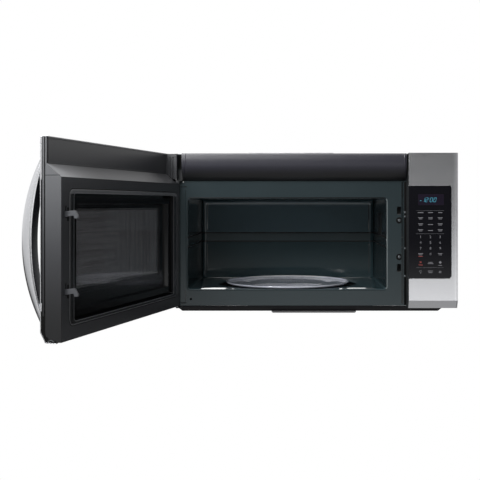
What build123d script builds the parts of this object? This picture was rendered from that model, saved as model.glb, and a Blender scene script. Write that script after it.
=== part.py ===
from build123d import *
import math
import os

# Over the range microwave: a wall-hung cabinet with an oven, a fan hood and a side-hung door.
# Millimetres. +X is right as seen from the front, +Y points to the wall, +Z is up.
# The origin is on the wall face, on the cabinet's centreline, level with the underside of the base pan.
# The door is modelled closed, in cabinet coordinates, and is then swung open about its hinge pins.

# ---- driving dimensions -------------------------------------------------------------------
WIDTH = 759.0               # across the door and the control panel
FRONT_H = 414.0             # height of the door and of the control panel
PANEL_W = 130.4             # control panel
PANEL_GAP = 3.5             # door edge to the control panel
FRONT_DROP = 14.0           # base pan's underside to the front's lower edge
SIDE_INSET = 4.0            # cabinet side to the front's outer edge
TOP_SUNK = 1.0              # cabinet's top face under the front's upper edge
SHEET = 1.0                 # cabinet and cavity sheet steel
BACK_SPACE = 6.0            # wall face to the cavity's back sheet
RUN_GAP = 0.3               # between pieces that move past each other
PIN_FIT = 0.05              # radial running fit of a pin or shaft
SEAT_GAP = 0.2              # between an inlaid piece and its recess

CAVITY_D = 376.0
CAVITY_LEFT = 33.9          # door's hinge edge to the oven mouth
CAVITY_RIGHT = 49.6         # oven mouth to the door's free edge
CAVITY_RISE = 45.4          # front's lower edge to the oven floor
CAVITY_HEAD = 120.5         # oven mouth to the front's upper edge
BAND_RISE = 114.6           # oven floor to the embossed band on the back wall
BAND_H = 29.0
BAND_DEPTH = 1.5
RECESS_WALL = 2.0           # round recess for the turntable to the oven's back
RECESS_DEPTH = 15.0

DOOR_T = 47.5               # front face to the choke cover's face
DOOR_GAP = 1.0              # closed door to the front plate
DOOR_OPEN = 104.23          # degrees, as it stands in the stored pose
PIVOT_U = 7.23              # hinge pin from the door's hinge edge
PIVOT_IN = 8.0              # hinge pin from the choke cover's face
SKIN = 1.2                  # stainless skin
SKIN_RETURN = 3.5           # depth of the skin's return at the free edge
FRAME_PROUD = 0.8           # choke cover's face to the frame's inner plane
WALL = 2.5                  # moulded walls
CHAMFER_RISE = 21.1         # sloped lower edge of the front
CHAMFER_RUN = 11.6
FRAME_FOOT = 2.5            # front's lower edge to the door frame's underside
HEAD_T = 14.4               # thickness of the door's upper part
LEDGE_DROP = (82.0, 55.3)   # front's upper edge to the foot and the head of the sloping ledge
HINGE_EDGE_R = 7.0

GLASS_LOW = 79.7            # flush black glass, above the front's lower edge
GLASS_DROP = 87.6           # front's upper edge to the glass
GLASS_BORDER = 17.3         # steel beside the glass at the outer edge
GLASS_TOP_R = 5.0
GLASS_LOW_R = 8.0
DOOR_GLASS_T = 4.0
PANEL_GLASS_T = 3.0

RING_HINGE = (25.0, 50.0)   # choke cover, outer and inner edge, from each edge of the door
RING_FREE_IN = (32.1, 51.1)
RING_FOOT = (31.0, 40.0)
RING_HEAD_DROP = (106.0, 115.0)
RING_LAP = 3.0              # how far the cover laps onto the frame
RING_R = 14.0
CHOKE_IN = 15.5             # choke cover's face to the choke panel's seat
CHOKE_SHEET = 1.2
CHOKE_SLOT = 6.0            # open slot between the cover and the panel's raised hat
HAT_W = 14.0
HAT_IN = 7.5                # choke cover's face to the hat's top
HAT_SLOPE = 5.0             # draft of the hat's inner side
SCREEN_HINGE = 126.0        # see-through window in the door, from each edge
SCREEN_FREE_IN = 82.1
SCREEN_FOOT = 106.0
SCREEN_DROP = 151.0
SCREEN_T = 0.6
WINDOW_T = 1.0
WINDOW_LAP = 5.0

KEY_INSET = 16.6            # middle of the door key from the free edge
KEY_W = 5.0
KEY_TRAVEL = 5.0
LOW_HOOK = 95.3             # base of the lower hook above the front's lower edge
HIGH_HOOK_DROP = 163.0      # front's upper edge to the base of the upper hook
HOOK_BASE_H = 12.0
HOOK_REACH = 29.0           # past the frame's inner plane
HOOK_NOSE = 2.0
HOOK_HEAD = 10.0            # length of the hook's head, and the parts of its outline
HOOK_BARB = 8.0
HOOK_BROW = 7.0
HOOK_RAKE = 3.0
SLOT_W = 10.8               # latch slots in the front plate
SLOT_UNDER = 2.0            # room under and over a hook in its slot
SLOT_OVER = 0.7

HANDLE_FOOT = 22.0          # bowed handle
HANDLE_DROP = 28.0          # front's upper edge to the handle's head
HANDLE_BOW = 53.0           # how far it stands out
HANDLE_HOLD = 32.0          # height of the foot, where the handle meets the door
HANDLE_HOLD_TOP = 32.0      # height of the head
HANDLE_CLEAR = 24.0         # finger room at the middle
HANDLE_W = 28.0
HANDLE_INSET = 22.0         # free edge to the handle's middle
HANDLE_ROUND = 10.0
HANDLE_ROUND_IN = 6.0

PIN_R = 3.0
PIN_L = 17.0
BUSH_R = 5.0
BUSH_L = 14.0
BRACKET_T = 2.5
BRACKET_W = 18.0
BRACKET_LEG = 30.0

DEFLECT_LEFT = 22.5         # door edge to the deflector's left end
DEFLECT_T = 2.6
DEFLECT_LIP = 0.5           # deflector's foot from the front plate, and its head under the front's upper edge
DEFLECT_DROP = (74.0, 52.0, 26.0)       # the bow's points under the front's upper edge
DEFLECT_CLEAR = (9.6, 2.6, 4.6)         # the bow's upper points behind the door's head
GRILLE_T = 2.5
GRILLE_SLOTS = 40
GRILLE_BAR = 0.5            # share of the pitch that a bar takes

TRAY_ROOM = 6.0             # tray's rim to the recess
TRAY_T = 4.0
TRAY_RIM_W = 15.0
TRAY_RIM_H = 6.0
ROLLER_R = 6.0
ROLLER_L = 8.0
ROLLER_PIN_R = 2.0
RING_TRACK_R = 116.0        # middle of the rollers' path
ROLLER_COUNT = 3
COUPLER_R = 8.0
COUPLER_LOBE = 17.0
MOTOR_SHAFT_R = 3.5

FILTER_W = 150.0
FILTER_L = 283.0
FILTER_T = 9.0
FILTER_BORDER = 10.0
LEDGE_LAP = 10.0            # ledge that each filter is pushed up against

EXHAUST_W = 254.0           # 3 1/4 by 10 inch duct
EXHAUST_D = 82.5
EXHAUST_RISE = 18.0
DRUM_W = 82.0
DRUM_R = 50.0
WHEEL_R = 42.0
BLADES = 16
BLOWER_SHAFT_R = 4.0

# ---- places worked out from them ----------------------------------------------------------
HALF = WIDTH / 2
DOOR_W = WIDTH - PANEL_GAP - PANEL_W
BODY_HALF = HALF - SIDE_INSET
BODY_TOP = FRONT_DROP + FRONT_H - TOP_SUNK
CAVITY_W = DOOR_W - CAVITY_LEFT - CAVITY_RIGHT
CAVITY_H = FRONT_H - CAVITY_RISE - CAVITY_HEAD
CAVITY_BACK = -(BACK_SPACE + SHEET)
PLATE_Y = CAVITY_BACK - CAVITY_D            # face of the front plate
PLATE_BACK = PLATE_Y + SHEET
FRONT_Y = PLATE_Y - DOOR_GAP - DOOR_T       # face of the closed door
FRONT_Z = FRONT_DROP
PLATE_V = PLATE_Y - FRONT_Y                 # the plate's depth behind the door's face
FRAME_V = DOOR_T - FRAME_PROUD              # inner plane of the door frame
OVEN_X0 = -HALF + CAVITY_LEFT
OVEN_X1 = OVEN_X0 + CAVITY_W
OVEN_Z0 = FRONT_Z + CAVITY_RISE
OVEN_Z1 = OVEN_Z0 + CAVITY_H
OVEN_X = (OVEN_X0 + OVEN_X1) / 2
OVEN_Y = CAVITY_BACK - CAVITY_D / 2
RECESS_Z = OVEN_Z0 - RECESS_DEPTH
RECESS_R = CAVITY_D / 2 - RECESS_WALL
TRAY_R = RECESS_R - TRAY_ROOM
PANEL_X0 = HALF - PANEL_W
PIVOT_V = DOOR_T - PIVOT_IN
PIVOT_X = -HALF + PIVOT_U
PIVOT_Y = FRONT_Y + PIVOT_V
GLASS_HIGH = FRONT_H - GLASS_DROP
HATCH_V = DOOR_GLASS_T + WALL               # back of the door's glass carrier
LEDGE_LOW = FRONT_H - LEDGE_DROP[0]
LEDGE_HIGH = FRONT_H - LEDGE_DROP[1]
RING_FREE = [DOOR_W - inset for inset in RING_FREE_IN]
RING_HEAD = [FRONT_H - drop for drop in RING_HEAD_DROP]
CHOKE_BASE = DOOR_T - CHOKE_IN
HAT_TOP = DOOR_T - HAT_IN
SCREEN_FREE = DOOR_W - SCREEN_FREE_IN
SCREEN_HEAD = FRONT_H - SCREEN_DROP
KEY_U = DOOR_W - KEY_INSET
KEY_X = -HALF + KEY_U
HOOK_FOOT = (LOW_HOOK, FRONT_H - HIGH_HOOK_DROP)
SLOT_LOW = [foot - SLOT_UNDER for foot in HOOK_FOOT]
SLOT_H = SLOT_UNDER + HOOK_BASE_H + HOOK_NOSE + KEY_TRAVEL + SLOT_OVER
HANDLE_HEAD = FRONT_H - HANDLE_DROP
HANDLE_HOLD_FOOT = HANDLE_FOOT + HANDLE_HOLD
HANDLE_HOLD_HEAD = HANDLE_HEAD - HANDLE_HOLD_TOP
DEFLECT_LOW = FRONT_H - DEFLECT_DROP[0]


# ---- small builders -----------------------------------------------------------------------
def slab(x0, x1, y0, y1, z0, z1):
    """A box between two corners."""
    return Pos((x0 + x1) / 2, (y0 + y1) / 2, (z0 + z1) / 2) * Box(x1 - x0, y1 - y0, z1 - z0)


def door_slab(u0, u1, v0, v1, z0, z1):
    """A box in door measures: from the hinge edge, from the front face, from the lower edge."""
    return slab(u0 - HALF, u1 - HALF, v0 + FRONT_Y, v1 + FRONT_Y, z0 + FRONT_Z, z1 + FRONT_Z)


def post(x, y, z0, z1, r):
    """An upright cylinder."""
    return Pos(x, y, (z0 + z1) / 2) * Cylinder(r, z1 - z0)


def rod_x(x0, x1, y, z, r):
    """A cylinder along X."""
    return Pos((x0 + x1) / 2, y, z) * Rot(0, 90, 0) * Cylinder(r, x1 - x0)


def rod_y(x, y0, y1, z, r):
    """A cylinder along Y."""
    return Pos(x, (y0 + y1) / 2, z) * Rot(90, 0, 0) * Cylinder(r, y1 - y0)


def side_prism(x0, x1, points):
    """A side profile in depth-behind-the-front and height-above-its-edge, run across from x0 to x1."""
    outline = Polyline(*[(v + FRONT_Y, z + FRONT_Z) for v, z in points], close=True)
    return Pos(x0, 0, 0) * extrude(Plane.YZ * make_face(outline), x1 - x0)


def round_plate(x0, x1, y0, y1, z0, z1, r):
    """An upright plate with its four corners rounded, facing along Y."""
    plate = slab(x0, x1, y0, y1, z0, z1)
    return fillet(plate.edges().filter_by(Axis.Y), r)


def swung(piece):
    """Turn a piece of the closed door to the open pose about the hinge pins."""
    return Pos(PIVOT_X, PIVOT_Y, 0) * Rot(0, 0, -DOOR_OPEN) * Pos(-PIVOT_X, -PIVOT_Y, 0) * piece


def keep(name, *pieces):
    """Write one node, as one solid or as a group of separate solids."""
    solids = [solid for piece in pieces for solid in piece.solids()]
    node = solids[0] if len(solids) == 1 else Compound(children=solids)
    node.label = name
    export_step(node, f"parts/{name}.step")


def keep_door(name, *pieces):
    keep(name, *[swung(piece) for piece in pieces])


# ---- cabinet ------------------------------------------------------------------------------
NUT_SPREAD = 400.0          # between the two top bolts
NUT_BACK = 52.0             # front plate to the bolts
NUT_R = 3.175               # 1/4 inch
NUT_HOLE_R = 3.5
NUT_FLAT = 11.0
NUT_T = 6.0
EXHAUST_X = -65.0
EXHAUST_Y = -110.0
CORD_INSET = 75.5           # cabinet side to the cord
CORD_Y = -60.0
CORD_R = 5.5
CORD_HOLE_R = 9.5
BUSHING_R = 12.0
BUSHING_RISE = 2.0
BUSHING_DROP = 4.0
NUT_Y = PLATE_BACK + NUT_BACK
CORD_X = BODY_HALF - CORD_INSET


def outer_wrap():
    """Top and sides, one folded sheet."""
    outside = slab(-BODY_HALF, BODY_HALF, PLATE_BACK, -SHEET, FRONT_Z, BODY_TOP)
    inside = slab(
        -BODY_HALF + SHEET, BODY_HALF - SHEET, PLATE_BACK - SHEET, 0, FRONT_Z - SHEET, BODY_TOP - SHEET
    )
    wrap = outside - inside
    duct = slab(
        EXHAUST_X - EXHAUST_W / 2, EXHAUST_X + EXHAUST_W / 2,
        EXHAUST_Y - EXHAUST_D / 2, EXHAUST_Y + EXHAUST_D / 2,
        BODY_TOP - 2 * SHEET, BODY_TOP + SHEET,
    )
    wrap -= duct
    for side in (-1, 1):
        wrap -= post(side * NUT_SPREAD / 2, NUT_Y, BODY_TOP - 2 * SHEET, BODY_TOP + SHEET, NUT_HOLE_R)
    wrap -= post(CORD_X, CORD_Y, BODY_TOP - 2 * SHEET, BODY_TOP + SHEET, CORD_HOLE_R)
    return wrap + weld_nuts()


def weld_nuts():
    """Square nuts welded under the top sheet, for the bolts that come down from the wall cabinet."""
    nuts = []
    for side in (-1, 1):
        x = side * NUT_SPREAD / 2
        nut = slab(
            x - NUT_FLAT / 2, x + NUT_FLAT / 2, NUT_Y - NUT_FLAT / 2, NUT_Y + NUT_FLAT / 2,
            BODY_TOP - SHEET - NUT_T, BODY_TOP - SHEET,
        )
        nuts.append(nut - post(x, NUT_Y, BODY_TOP - 3 * NUT_T, BODY_TOP, NUT_R))
    return nuts


def cord_bushing():
    """Snap-in bushing in the top sheet, where the mains lead leaves."""
    neck = post(CORD_X, CORD_Y, BODY_TOP - SHEET - BUSHING_DROP, BODY_TOP + BUSHING_RISE, CORD_HOLE_R)
    head = post(CORD_X, CORD_Y, BODY_TOP, BODY_TOP + BUSHING_RISE, BUSHING_R)
    barb = post(
        CORD_X, CORD_Y, BODY_TOP - SHEET - BUSHING_DROP, BODY_TOP - SHEET, CORD_HOLE_R + BUSHING_RISE / 2
    )
    bore = post(CORD_X, CORD_Y, BODY_TOP - 2 * BUSHING_R, BODY_TOP + BUSHING_R, CORD_R)
    return neck + head + barb - bore


HOOK_SLOT_X = 250.0         # wall plate hooks, each side of the middle
HOOK_SLOT_W = 60.0
HOOK_SLOT_H = 8.0
HOOK_SLOT_Z = 40.0
PAN_BEVEL = 12.0
PAN_T = 1.2
PAN_LEFT = -BODY_HALF + 2.5                 # base pan, inside the cabinet's sides and front plate
PAN_RIGHT = BODY_HALF - 26.5
PAN_FRONT = PLATE_BACK + 3.0


def back_plate():
    """Rear sheet with the slots that drop onto the wall plate's hooks."""
    plate = slab(-BODY_HALF, BODY_HALF, -SHEET, 0, FRONT_Z, BODY_TOP)
    plate += slab(PAN_LEFT + PAN_BEVEL, PAN_RIGHT - PAN_BEVEL, -SHEET, 0, 0, FRONT_Z)
    for side in (-1, 1):
        x = side * HOOK_SLOT_X
        plate -= slab(
            x - HOOK_SLOT_W / 2, x + HOOK_SLOT_W / 2, -2 * SHEET, SHEET,
            HOOK_SLOT_Z, HOOK_SLOT_Z + HOOK_SLOT_H,
        )
    return plate


LAMP_X = -2.0               # cooktop lamp cover, middle
LAMP_W = 230.0
LAMP_D = 82.0
LAMP_BACK = 48.0            # pan's front edge to the lamp cover's middle
LAMP_Y = PAN_FRONT + LAMP_BACK
LAMP_T = 5.0
LAMP_HOLE_BORDER = 10.0
FILTER_SIDE = 48.0          # pan's side to the filter
FILTER_FRONT = 22.5         # pan's front edge to the filter
FILTER_SUNK = 1.0           # filter's face above the pan's underside
FILTER_X = (PAN_LEFT + FILTER_SIDE + FILTER_W / 2, PAN_RIGHT - FILTER_SIDE - FILTER_W / 2)
FILTER_Y = PAN_FRONT + FILTER_FRONT + FILTER_L / 2
LEDGE_Z = FILTER_T + FILTER_SUNK


def filter_place(index, grow, z0, z1):
    """The space of one grease filter, grown all round."""
    x = FILTER_X[index]
    return slab(
        x - FILTER_W / 2 - grow, x + FILTER_W / 2 + grow,
        FILTER_Y - FILTER_L / 2 - grow, FILTER_Y + FILTER_L / 2 + grow, z0, z1,
    )


def bevelled_pan(shrink, floor, top):
    """The base pan's outer or inner form: a tray with sloping sides."""
    pan = slab(PAN_LEFT + shrink, PAN_RIGHT - shrink, PAN_FRONT + shrink, -SHEET - shrink, floor, top)
    low = pan.edges().group_by(Axis.Z)[0]
    return chamfer(low, PAN_BEVEL)


def base_pan():
    """Underside: a bevelled tray with a flange, two filter openings with ledges and a lamp opening."""
    flange = slab(-BODY_HALF + SHEET, BODY_HALF - SHEET, PAN_FRONT, -SHEET, FRONT_Z, FRONT_Z + PAN_T)
    pan = bevelled_pan(0, 0, FRONT_Z + PAN_T) + flange
    pan -= bevelled_pan(PAN_T, PAN_T, FRONT_Z + 2 * PAN_T)
    for index in range(2):
        rim = filter_place(index, PAN_T + RUN_GAP, 0, LEDGE_Z + PAN_T)
        pan += rim
        pan -= filter_place(index, RUN_GAP, -PAN_T, LEDGE_Z)
        pan -= filter_place(index, -LEDGE_LAP, 0, LEDGE_Z + 2 * PAN_T)
    pan -= slab(
        LAMP_X - LAMP_W / 2 + LAMP_HOLE_BORDER, LAMP_X + LAMP_W / 2 - LAMP_HOLE_BORDER,
        LAMP_Y - LAMP_D / 2 + LAMP_HOLE_BORDER, LAMP_Y + LAMP_D / 2 - LAMP_HOLE_BORDER,
        -PAN_T, 2 * PAN_T,
    )
    return pan


def filter_frame(index):
    """Folded aluminium frame of a grease filter."""
    low = LEDGE_Z - FILTER_T
    frame = filter_place(index, 0, low, LEDGE_Z)
    frame -= filter_place(index, -FILTER_BORDER, low - SHEET, LEDGE_Z + SHEET)
    return frame - filter_place(index, -SHEET, low + SHEET, LEDGE_Z - SHEET)


MESH_HOLES = (8, 15)
MESH_PITCH = 17.0
MESH_HOLE = 13.0
MESH_T = 3.0


def filter_mesh(index):
    """Expanded aluminium mesh, held in the frame's fold."""
    x = FILTER_X[index]
    sheet = Rectangle(FILTER_W - 2 * SHEET, FILTER_L - 2 * SHEET)
    holes = GridLocations(MESH_PITCH, MESH_PITCH, *MESH_HOLES) * Rectangle(MESH_HOLE, MESH_HOLE)
    return Pos(x, FILTER_Y, LEDGE_Z - SHEET - MESH_T) * extrude(sheet - holes, MESH_T)


def lamp_cover():
    """Moulded lens over the cooktop lamps, screwed under the pan."""
    x0 = LAMP_X - LAMP_W / 2
    x1 = LAMP_X + LAMP_W / 2
    y0 = LAMP_Y - LAMP_D / 2
    y1 = LAMP_Y + LAMP_D / 2
    cover = slab(x0, x1, y0, y1, -LAMP_T, 0)
    cover = chamfer(cover.edges().group_by(Axis.Z)[0], LAMP_T - 2 * SHEET)
    hollow = slab(
        x0 + LAMP_HOLE_BORDER, x1 - LAMP_HOLE_BORDER, y0 + LAMP_HOLE_BORDER, y1 - LAMP_HOLE_BORDER,
        -LAMP_T + 2 * SHEET, SHEET,
    )
    return cover - hollow


LED_SPREAD = 130.0
LED_W = 60.0
LED_D = 40.0
LED_RIM = 14.0
LED_LAP = 3.0


def cooktop_lamps():
    """Two lamp modules on the pan, over the lens."""
    lamps = []
    for side in (-1, 1):
        x = LAMP_X + side * LED_SPREAD / 2
        reach = LAMP_D / 2 - LAMP_HOLE_BORDER + LED_LAP
        plate = slab(x - LED_W / 2, x + LED_W / 2, LAMP_Y - reach, LAMP_Y + reach, PAN_T, 2 * PAN_T)
        dome = post(x, LAMP_Y, 2 * PAN_T, 2 * PAN_T + LED_RIM, LED_D / 2)
        lamps.append(plate + dome)
    return lamps


# ---- oven ---------------------------------------------------------------------------------
FLOOR_HOLE_R = 9.0
GUIDE_W = 80.0              # wave guide mouth in the right wall
GUIDE_H = 60.0
GUIDE_FORWARD = 10.0        # mouth's middle before the oven's middle, and under its ceiling
GUIDE_DROP = 83.1
GUIDE_Y = OVEN_Y - GUIDE_FORWARD
GUIDE_Z = OVEN_Z1 - GUIDE_DROP
GUIDE_D = 38.0
MICA_LAP = 12.0
OVEN_CORNER_R = 9.0


def cavity_liner():
    """Welded oven box, open at the front, with a round recess in its floor."""
    outside = slab(
        OVEN_X0 - SHEET, OVEN_X1 + SHEET, PLATE_BACK, -BACK_SPACE, OVEN_Z0 - SHEET, OVEN_Z1 + SHEET
    )
    outside = fillet(outside.edges().filter_by(Axis.Y), OVEN_CORNER_R + SHEET)
    inside = slab(OVEN_X0, OVEN_X1, PLATE_Y, CAVITY_BACK, OVEN_Z0, OVEN_Z1)
    inside = fillet(inside.edges().filter_by(Axis.Y), OVEN_CORNER_R)
    liner = outside + post(OVEN_X, OVEN_Y, RECESS_Z - SHEET, OVEN_Z0, RECESS_R + SHEET)
    liner -= inside
    liner -= post(OVEN_X, OVEN_Y, RECESS_Z, OVEN_Z0 + SHEET, RECESS_R)
    liner -= post(OVEN_X, OVEN_Y, RECESS_Z - 2 * SHEET, RECESS_Z + SHEET, FLOOR_HOLE_R)
    liner += slab(
        OVEN_X0, OVEN_X1, CAVITY_BACK - BAND_DEPTH, CAVITY_BACK,
        OVEN_Z0 + BAND_RISE, OVEN_Z0 + BAND_RISE + BAND_H,
    )
    return liner - slab(
        OVEN_X1 - SHEET, OVEN_X1 + 2 * SHEET, GUIDE_Y - GUIDE_W / 2, GUIDE_Y + GUIDE_W / 2,
        GUIDE_Z - GUIDE_H / 2, GUIDE_Z + GUIDE_H / 2,
    )


def waveguide_cover():
    """Mica sheet over the wave guide's mouth."""
    return slab(
        OVEN_X1 - SHEET, OVEN_X1, GUIDE_Y - GUIDE_W / 2 - MICA_LAP, GUIDE_Y + GUIDE_W / 2 + MICA_LAP,
        GUIDE_Z - GUIDE_H / 2 - MICA_LAP, GUIDE_Z + GUIDE_H / 2 + MICA_LAP,
    )


ANTENNA_R = 8.0
ANTENNA_L = 30.0


def waveguide():
    """Rectangular guide from the magnetron to the oven's right wall."""
    x0 = OVEN_X1 + SHEET
    x1 = x0 + GUIDE_D
    grow = 2 * SHEET
    guide = slab(
        x0, x1, GUIDE_Y - GUIDE_W / 2 - grow, GUIDE_Y + GUIDE_W / 2 + grow,
        GUIDE_Z - GUIDE_H / 2 - grow, GUIDE_Z + GUIDE_H / 2 + grow,
    )
    guide -= slab(
        x0 - SHEET, x1 - grow, GUIDE_Y - GUIDE_W / 2, GUIDE_Y + GUIDE_W / 2,
        GUIDE_Z - GUIDE_H / 2, GUIDE_Z + GUIDE_H / 2,
    )
    return guide - rod_x(x1 - 2 * grow, x1 + grow, GUIDE_Y, GUIDE_Z, ANTENNA_R + SHEET)


MAGNETRON = (62.0, 92.0, 78.0)
FIN_COUNT = 6
FIN_T = 1.0
FIN_GROW = 5.0


def magnetron():
    """Magnetron: yoke, antenna dome and cooling fins."""
    x0 = OVEN_X1 + SHEET + GUIDE_D
    wide, deep, tall = MAGNETRON
    body = slab(x0, x0 + wide, GUIDE_Y - deep / 2, GUIDE_Y + deep / 2, GUIDE_Z - tall / 2, GUIDE_Z + tall / 2)
    tube = body + rod_x(x0 - ANTENNA_L, x0, GUIDE_Y, GUIDE_Z, ANTENNA_R)
    for index in range(FIN_COUNT):
        x = x0 + wide * (index + 1) / (FIN_COUNT + 1)
        tube += slab(
            x - FIN_T / 2, x + FIN_T / 2, GUIDE_Y - deep / 2, GUIDE_Y + deep / 2,
            GUIDE_Z - tall / 2 - FIN_GROW, GUIDE_Z + tall / 2 + FIN_GROW,
        )
    return tube


LAMP_BOX = (30.0, 36.0, 26.0)
OVEN_LAMP_BACK = 70.0
OVEN_LAMP_DROP = 40.0
OVEN_LAMP_Y = PLATE_Y + OVEN_LAMP_BACK
OVEN_LAMP_Z = OVEN_Z1 - OVEN_LAMP_DROP


def oven_lamp():
    """Lamp holder on the outside of the right wall."""
    wide, deep, tall = LAMP_BOX
    x0 = OVEN_X1 + SHEET
    holder = slab(
        x0, x0 + wide, OVEN_LAMP_Y - deep / 2, OVEN_LAMP_Y + deep / 2,
        OVEN_LAMP_Z - tall / 2, OVEN_LAMP_Z + tall / 2,
    )
    socket = rod_x(x0 + wide, x0 + wide + 2 * BUSH_R, OVEN_LAMP_Y, OVEN_LAMP_Z, LED_RIM / 2)
    return holder + socket


MOTOR_R = 25.0
MOTOR_H = 18.0
MOTOR_EAR = 36.0
SHAFT_L = 12.0


def turntable_motor():
    """Geared motor under the oven floor."""
    top = RECESS_Z - SHEET
    ears = slab(OVEN_X - MOTOR_EAR, OVEN_X + MOTOR_EAR, OVEN_Y - BUSH_R, OVEN_Y + BUSH_R, top - SHEET, top)
    body = ears + post(OVEN_X, OVEN_Y, top - MOTOR_H, top, MOTOR_R)
    return body - post(OVEN_X, OVEN_Y, top - SHAFT_L - RUN_GAP, top + SHEET, MOTOR_SHAFT_R + PIN_FIT)


TRAY_Z = RECESS_Z + 2 * RUN_GAP + 2 * ROLLER_R      # underside of the tray's track
HUB_Z = RECESS_Z + 2 * RUN_GAP
COUPLER_T = TRAY_Z - RUN_GAP - HUB_Z


def coupler():
    """Three-lobed drive hub on its shaft."""
    top = RECESS_Z - SHEET
    hub = post(OVEN_X, OVEN_Y, HUB_Z, HUB_Z + COUPLER_T, COUPLER_R)
    hub += post(OVEN_X, OVEN_Y, top - SHAFT_L, HUB_Z, MOTOR_SHAFT_R)
    for turn in range(3):
        lobe = slab(0, COUPLER_LOBE, -COUPLER_R / 2, COUPLER_R / 2, HUB_Z, HUB_Z + COUPLER_T)
        hub += Pos(OVEN_X, OVEN_Y, 0) * Rot(0, 0, 120 * turn) * lobe
    return hub


LUG_R = 4.0
LUG_REACH = 13.0


def glass_tray():
    """Pressed glass tray: flat floor, raised rim and three drive lugs."""
    inner = TRAY_R - TRAY_RIM_W
    outline = Polyline(
        (0, 0), (inner, 0), (TRAY_R, TRAY_RIM_H), (TRAY_R, TRAY_RIM_H + TRAY_T),
        (inner, TRAY_T), (0, TRAY_T), close=True,
    )
    tray = Pos(OVEN_X, OVEN_Y, TRAY_Z) * revolve(Plane.XZ * make_face(outline), Axis.Z)
    for turn in range(3):
        lug = post(LUG_REACH, 0, TRAY_Z - COUPLER_T / 2, TRAY_Z, LUG_R)
        tray += Pos(OVEN_X, OVEN_Y, 0) * Rot(0, 0, 60 + 120 * turn) * lug
    return tray


AXLE_Z = RECESS_Z + RUN_GAP + ROLLER_R
RING_SECTION = (7.0, 5.0)


def roller_ring():
    """Flat plastic ring with three stub axles."""
    wide, tall = RING_SECTION
    outer = RING_TRACK_R - ROLLER_L / 2 - RUN_GAP
    ring = post(OVEN_X, OVEN_Y, AXLE_Z - tall / 2, AXLE_Z + tall / 2, outer)
    ring -= post(OVEN_X, OVEN_Y, AXLE_Z - tall, AXLE_Z + tall, outer - wide)
    for turn in range(ROLLER_COUNT):
        axle = rod_x(outer - wide / 2, RING_TRACK_R + ROLLER_L / 2, 0, AXLE_Z, ROLLER_PIN_R)
        ring += Pos(OVEN_X, OVEN_Y, 0) * Rot(0, 0, 360 / ROLLER_COUNT * turn) * axle
    return ring


def roller(turn):
    """One wheel of the roller ring."""
    x0 = RING_TRACK_R - ROLLER_L / 2
    wheel = rod_x(x0, x0 + ROLLER_L, 0, AXLE_Z, ROLLER_R)
    wheel -= rod_x(x0 - SHEET, x0 + ROLLER_L + SHEET, 0, AXLE_Z, ROLLER_PIN_R + PIN_FIT)
    return Pos(OVEN_X, OVEN_Y, 0) * Rot(0, 0, 360 / ROLLER_COUNT * turn) * wheel


# ---- front plate, deflector and grille ----------------------------------------------------
PLATE_FOOT = 2.3
VENT_INSET = (39.5, 15.6)   # vent from the door's hinge edge and free edge
VENT_DROP = (48.0, 10.0)    # vent's foot and head under the front's upper edge
BAY_MARGIN = 12.0
BAY_FOOT = 24.0
BAY_DROP = 22.0
SCREW_FOOT = 134.0          # lower screw above the front's lower edge
SCREW_DROP = 180.7          # upper screw under its upper edge
SCREW_INSET = 15.9          # screws from the door's free edge
SCREW_HEAD_R = 4.0
SCREW_HEAD_T = 1.2
SCREW_R = 2.0
SCREW_IN = 4.0              # screw's end behind the front plate
DRAIN_U = 43.7              # small hole from the door's hinge edge, and above the lower edge
DRAIN_Z = 19.9
DRAIN_R = 3.0
VENT_X = (-HALF + VENT_INSET[0], -HALF + DOOR_W - VENT_INSET[1])
VENT_Z = (FRONT_H - VENT_DROP[0], FRONT_H - VENT_DROP[1])
SCREW_Z = (SCREW_FOOT, FRONT_H - SCREW_DROP)
SCREW_X = -HALF + DOOR_W - SCREW_INSET


def front_plate():
    """Enamelled plate round the oven mouth, which also carries the control panel."""
    plate = slab(-BODY_HALF, BODY_HALF, PLATE_Y, PLATE_BACK, FRONT_Z + PLATE_FOOT, BODY_TOP)
    mouth = slab(OVEN_X0, OVEN_X1, PLATE_Y - SHEET, PLATE_BACK + SHEET, OVEN_Z0, OVEN_Z1)
    plate -= fillet(mouth.edges().filter_by(Axis.Y), OVEN_CORNER_R)
    holes = [
        slab(*VENT_X, PLATE_Y - SHEET, PLATE_BACK + SHEET, FRONT_Z + VENT_Z[0], FRONT_Z + VENT_Z[1]),
        slab(
            PANEL_X0 + BAY_MARGIN, HALF - BAY_MARGIN - SIDE_INSET, PLATE_Y - SHEET, PLATE_BACK + SHEET,
            FRONT_Z + BAY_FOOT, FRONT_Z + FRONT_H - BAY_DROP,
        ),
        rod_y(-HALF + DRAIN_U, PLATE_Y - SHEET, PLATE_BACK + SHEET, FRONT_Z + DRAIN_Z, DRAIN_R),
    ]
    for low in SLOT_LOW:
        holes.append(slab(
            KEY_X - SLOT_W / 2, KEY_X + SLOT_W / 2, PLATE_Y - SHEET, PLATE_BACK + SHEET,
            FRONT_Z + low, FRONT_Z + low + SLOT_H,
        ))
    for low in SCREW_Z:
        holes.append(rod_y(SCREW_X, PLATE_Y - SHEET, PLATE_BACK + SHEET, FRONT_Z + low, SCREW_R))
    return plate - holes


def latch_screws():
    """Pan-head screws that hold the latch board."""
    screws = []
    for low in SCREW_Z:
        z = FRONT_Z + low
        head = rod_y(SCREW_X, PLATE_Y - SCREW_HEAD_T, PLATE_Y, z, SCREW_HEAD_R)
        screws.append(head + rod_y(SCREW_X, PLATE_Y, PLATE_BACK + SCREW_IN, z, SCREW_R))
    return screws


def deflector_curve(shift):
    """The deflector's bowed profile, moved back by its wall."""
    points = [(v + shift + FRONT_Y, z + FRONT_Z) for v, z in DEFLECT_CURVE]
    return Spline(*points)


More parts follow.
